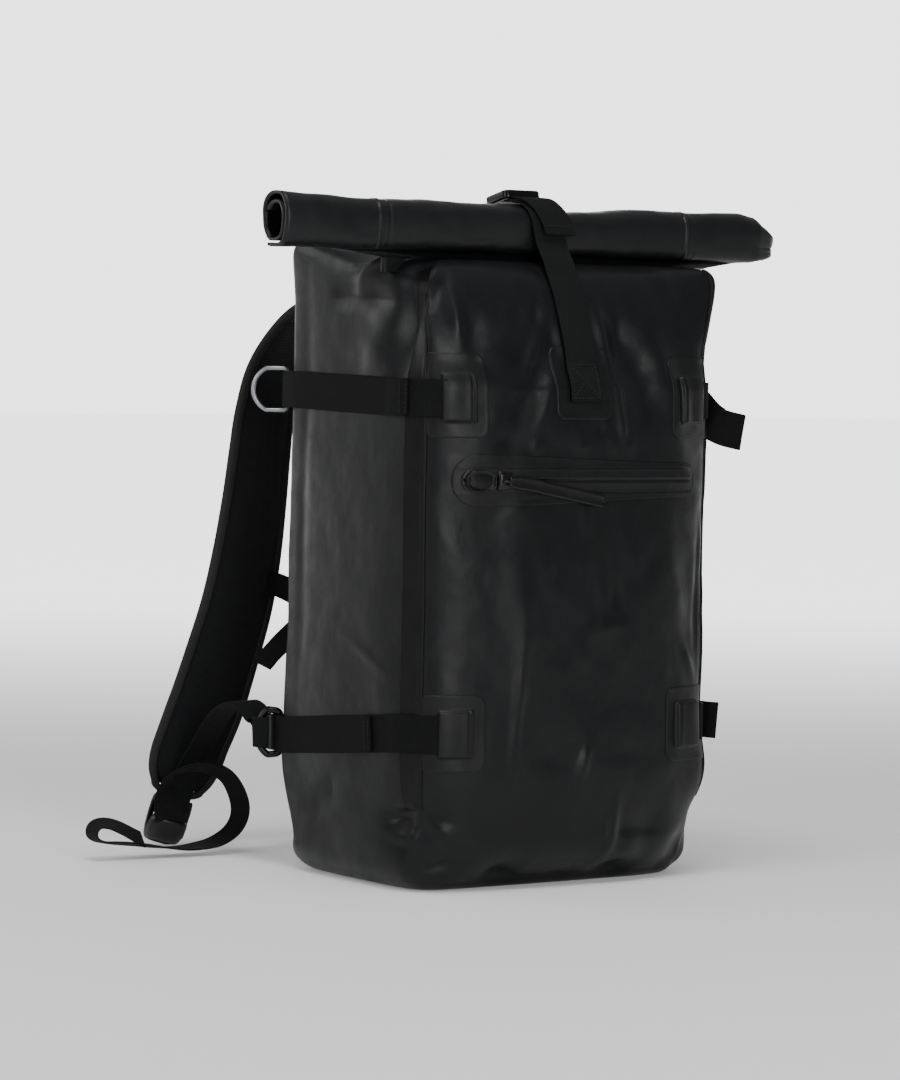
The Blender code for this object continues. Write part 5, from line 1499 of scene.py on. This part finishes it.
# Sternum strap
SLIM_WEB = 0.020
for side, word in SIDES:
    path = [Vector((side * x, y, z)) for x, y, z in (
        (0.0930, 0.2134, 0.2280), (0.0790, 0.2105, 0.2250), (0.0600, 0.1950, 0.2140),
        (0.0400, 0.1830, 0.2070), (0.0245, 0.1805, 0.2050))]
    web("sternum_web_" + word, web_frames(path, UP), SLIM_WEB, WEBBING, "sternum_strap_" + word)
plate("sternum_buckle_body", round_box(0.0440, 0.0250, 0.0050), [], 0.0040, 0.0016,
      (0.0, 0.1805, 0.2050), (1, 0, 0), (0, 0, 1), PLASTIC, "sternum_buckle")
sternum_tail = [Vector(p) for p in (
    (-0.0180, 0.1748, 0.2030), (-0.0450, 0.1735, 0.2040), (-0.0740, 0.1690, 0.1975),
    (-0.0970, 0.1640, 0.1850), (-0.1130, 0.1610, 0.1735), (-0.1260, 0.1600, 0.1620))]
frames = web_frames(sternum_tail, [Vector((0, w, 1)) for w in (0.0, 0.3, 0.8, 1.2, 1.4, 1.4)])
web("sternum_loose_end", frames, SLIM_WEB, WEBBING, "sternum_tail",
    hems=[(frames[-1][0] - 0.008, frames[-1][0] + 0.01, 0.0012)])


# Floor, light and camera
def area(name, at, aim_z, size, power):
    light = bpy.data.lights.new(name, "AREA")
    light.shape = "RECTANGLE"
    light.size, light.size_y = size
    light.energy = power
    obj = bpy.data.objects.new(name, light)
    bpy.context.scene.collection.objects.link(obj)
    obj.location = at
    way = Vector((0, 0, aim_z)) - Vector(at)
    obj.rotation_euler = way.to_track_quat("-Z", "Y").to_euler()
    return obj


def sweep(tree, space, start, end, low, high):
    """Rises from low to high between two distances along the photograph's line of sight."""
    along = add(tree, "VectorMath", {0: place_in(tree, space)}, {"operation": "DOT_PRODUCT"})
    along.inputs[1].default_value = SIGHT
    return add(tree, "MapRange", {"Value": along.outputs["Value"]},
               {"interpolation_type": "SMOOTHSTEP"}, From_Min=start, From_Max=end, To_Min=low,
               To_Max=high).outputs["Result"]


def studio():
    """Pale floor that glows far behind the part, a pale backdrop and four soft lights."""
    mesh = bpy.data.meshes.new("studio_floor")
    mesh.from_pydata([(-30, -30, 0), (30, -30, 0), (30, 30, 0), (-30, 30, 0)], [], [(0, 1, 2, 3)])
    floor = bpy.data.objects.new("studio_floor", mesh)
    bpy.context.scene.collection.objects.link(floor)
    mat, tree, shader = principled("floor_look", Base_Color=(0.86, 0.86, 0.86, 1), Roughness=0.9,
                                   Specular_IOR_Level=0.1, Emission_Color=(1, 1, 1, 1))
    glow = sweep(tree, "Object", 0.5, 4.0, 0.13, 2.4)
    put(tree, shader, {"Emission Strength": glow}, {})
    mesh.materials.append(mat)
    world = bpy.data.worlds.new("studio_world")
    bpy.context.scene.world = world
    world.use_nodes = True
    tree = world.node_tree
    both = add(tree, "Math", {0: sweep(tree, "Generated", 0.0, 0.55, 0.19, 0.36),
                              1: sweep(tree, "Generated", 0.90, 0.96, 0.0, 2.6)},
               {"operation": "ADD"})
    put(tree, tree.nodes["Background"], {"Strength": both.outputs["Value"]},
        {"Color": (1, 1, 1, 1)})
    area("key_light", (-2.6, -0.5, 1.3), 0.28, (0.8, 1.4), 20)
    area("top_light", (-0.4, -0.6, 2.6), 0.30, (1.2, 1.2), 34)
    area("front_light", (-0.5, -2.6, 0.9), 0.28, (0.6, 1.5), 26)
    area("back_light", (-1.6, 1.9, 1.4), 0.30, (1.2, 1.2), 12)


def camera():
    """Stands where the photograph was taken, seen from the left of the front and a bit above."""
    turn, reach, height, pitch, roll_by = 0.5932, 3.1071, 0.4057, 0.0431, 0.0146
    focal, shift = 3784.97, -0.0372
    flat = Vector((sin(turn), cos(turn), 0))
    right = Vector((cos(turn), -sin(turn), 0))
    at = -flat * reach + right * shift + UP * height
    ahead = flat * cos(pitch) - UP * sin(pitch)
    above = UP * cos(pitch) + flat * sin(pitch)
    r2 = right * cos(roll_by) + above * sin(roll_by)
    u2 = above * cos(roll_by) - right * sin(roll_by)
    data = bpy.data.cameras.new("photo_camera")
    data.sensor_width = 36
    data.sensor_fit = "VERTICAL"
    data.sensor_height = 36
    data.lens = focal / 1080 * 36
    data.clip_end = 50
    obj = bpy.data.objects.new("photo_camera", data)
    bpy.context.scene.collection.objects.link(obj)
    obj.matrix_world = Matrix.Translation(at) @ Matrix((r2, u2, -ahead)).transposed().to_4x4()
    bpy.context.scene.camera = obj


studio()
camera()
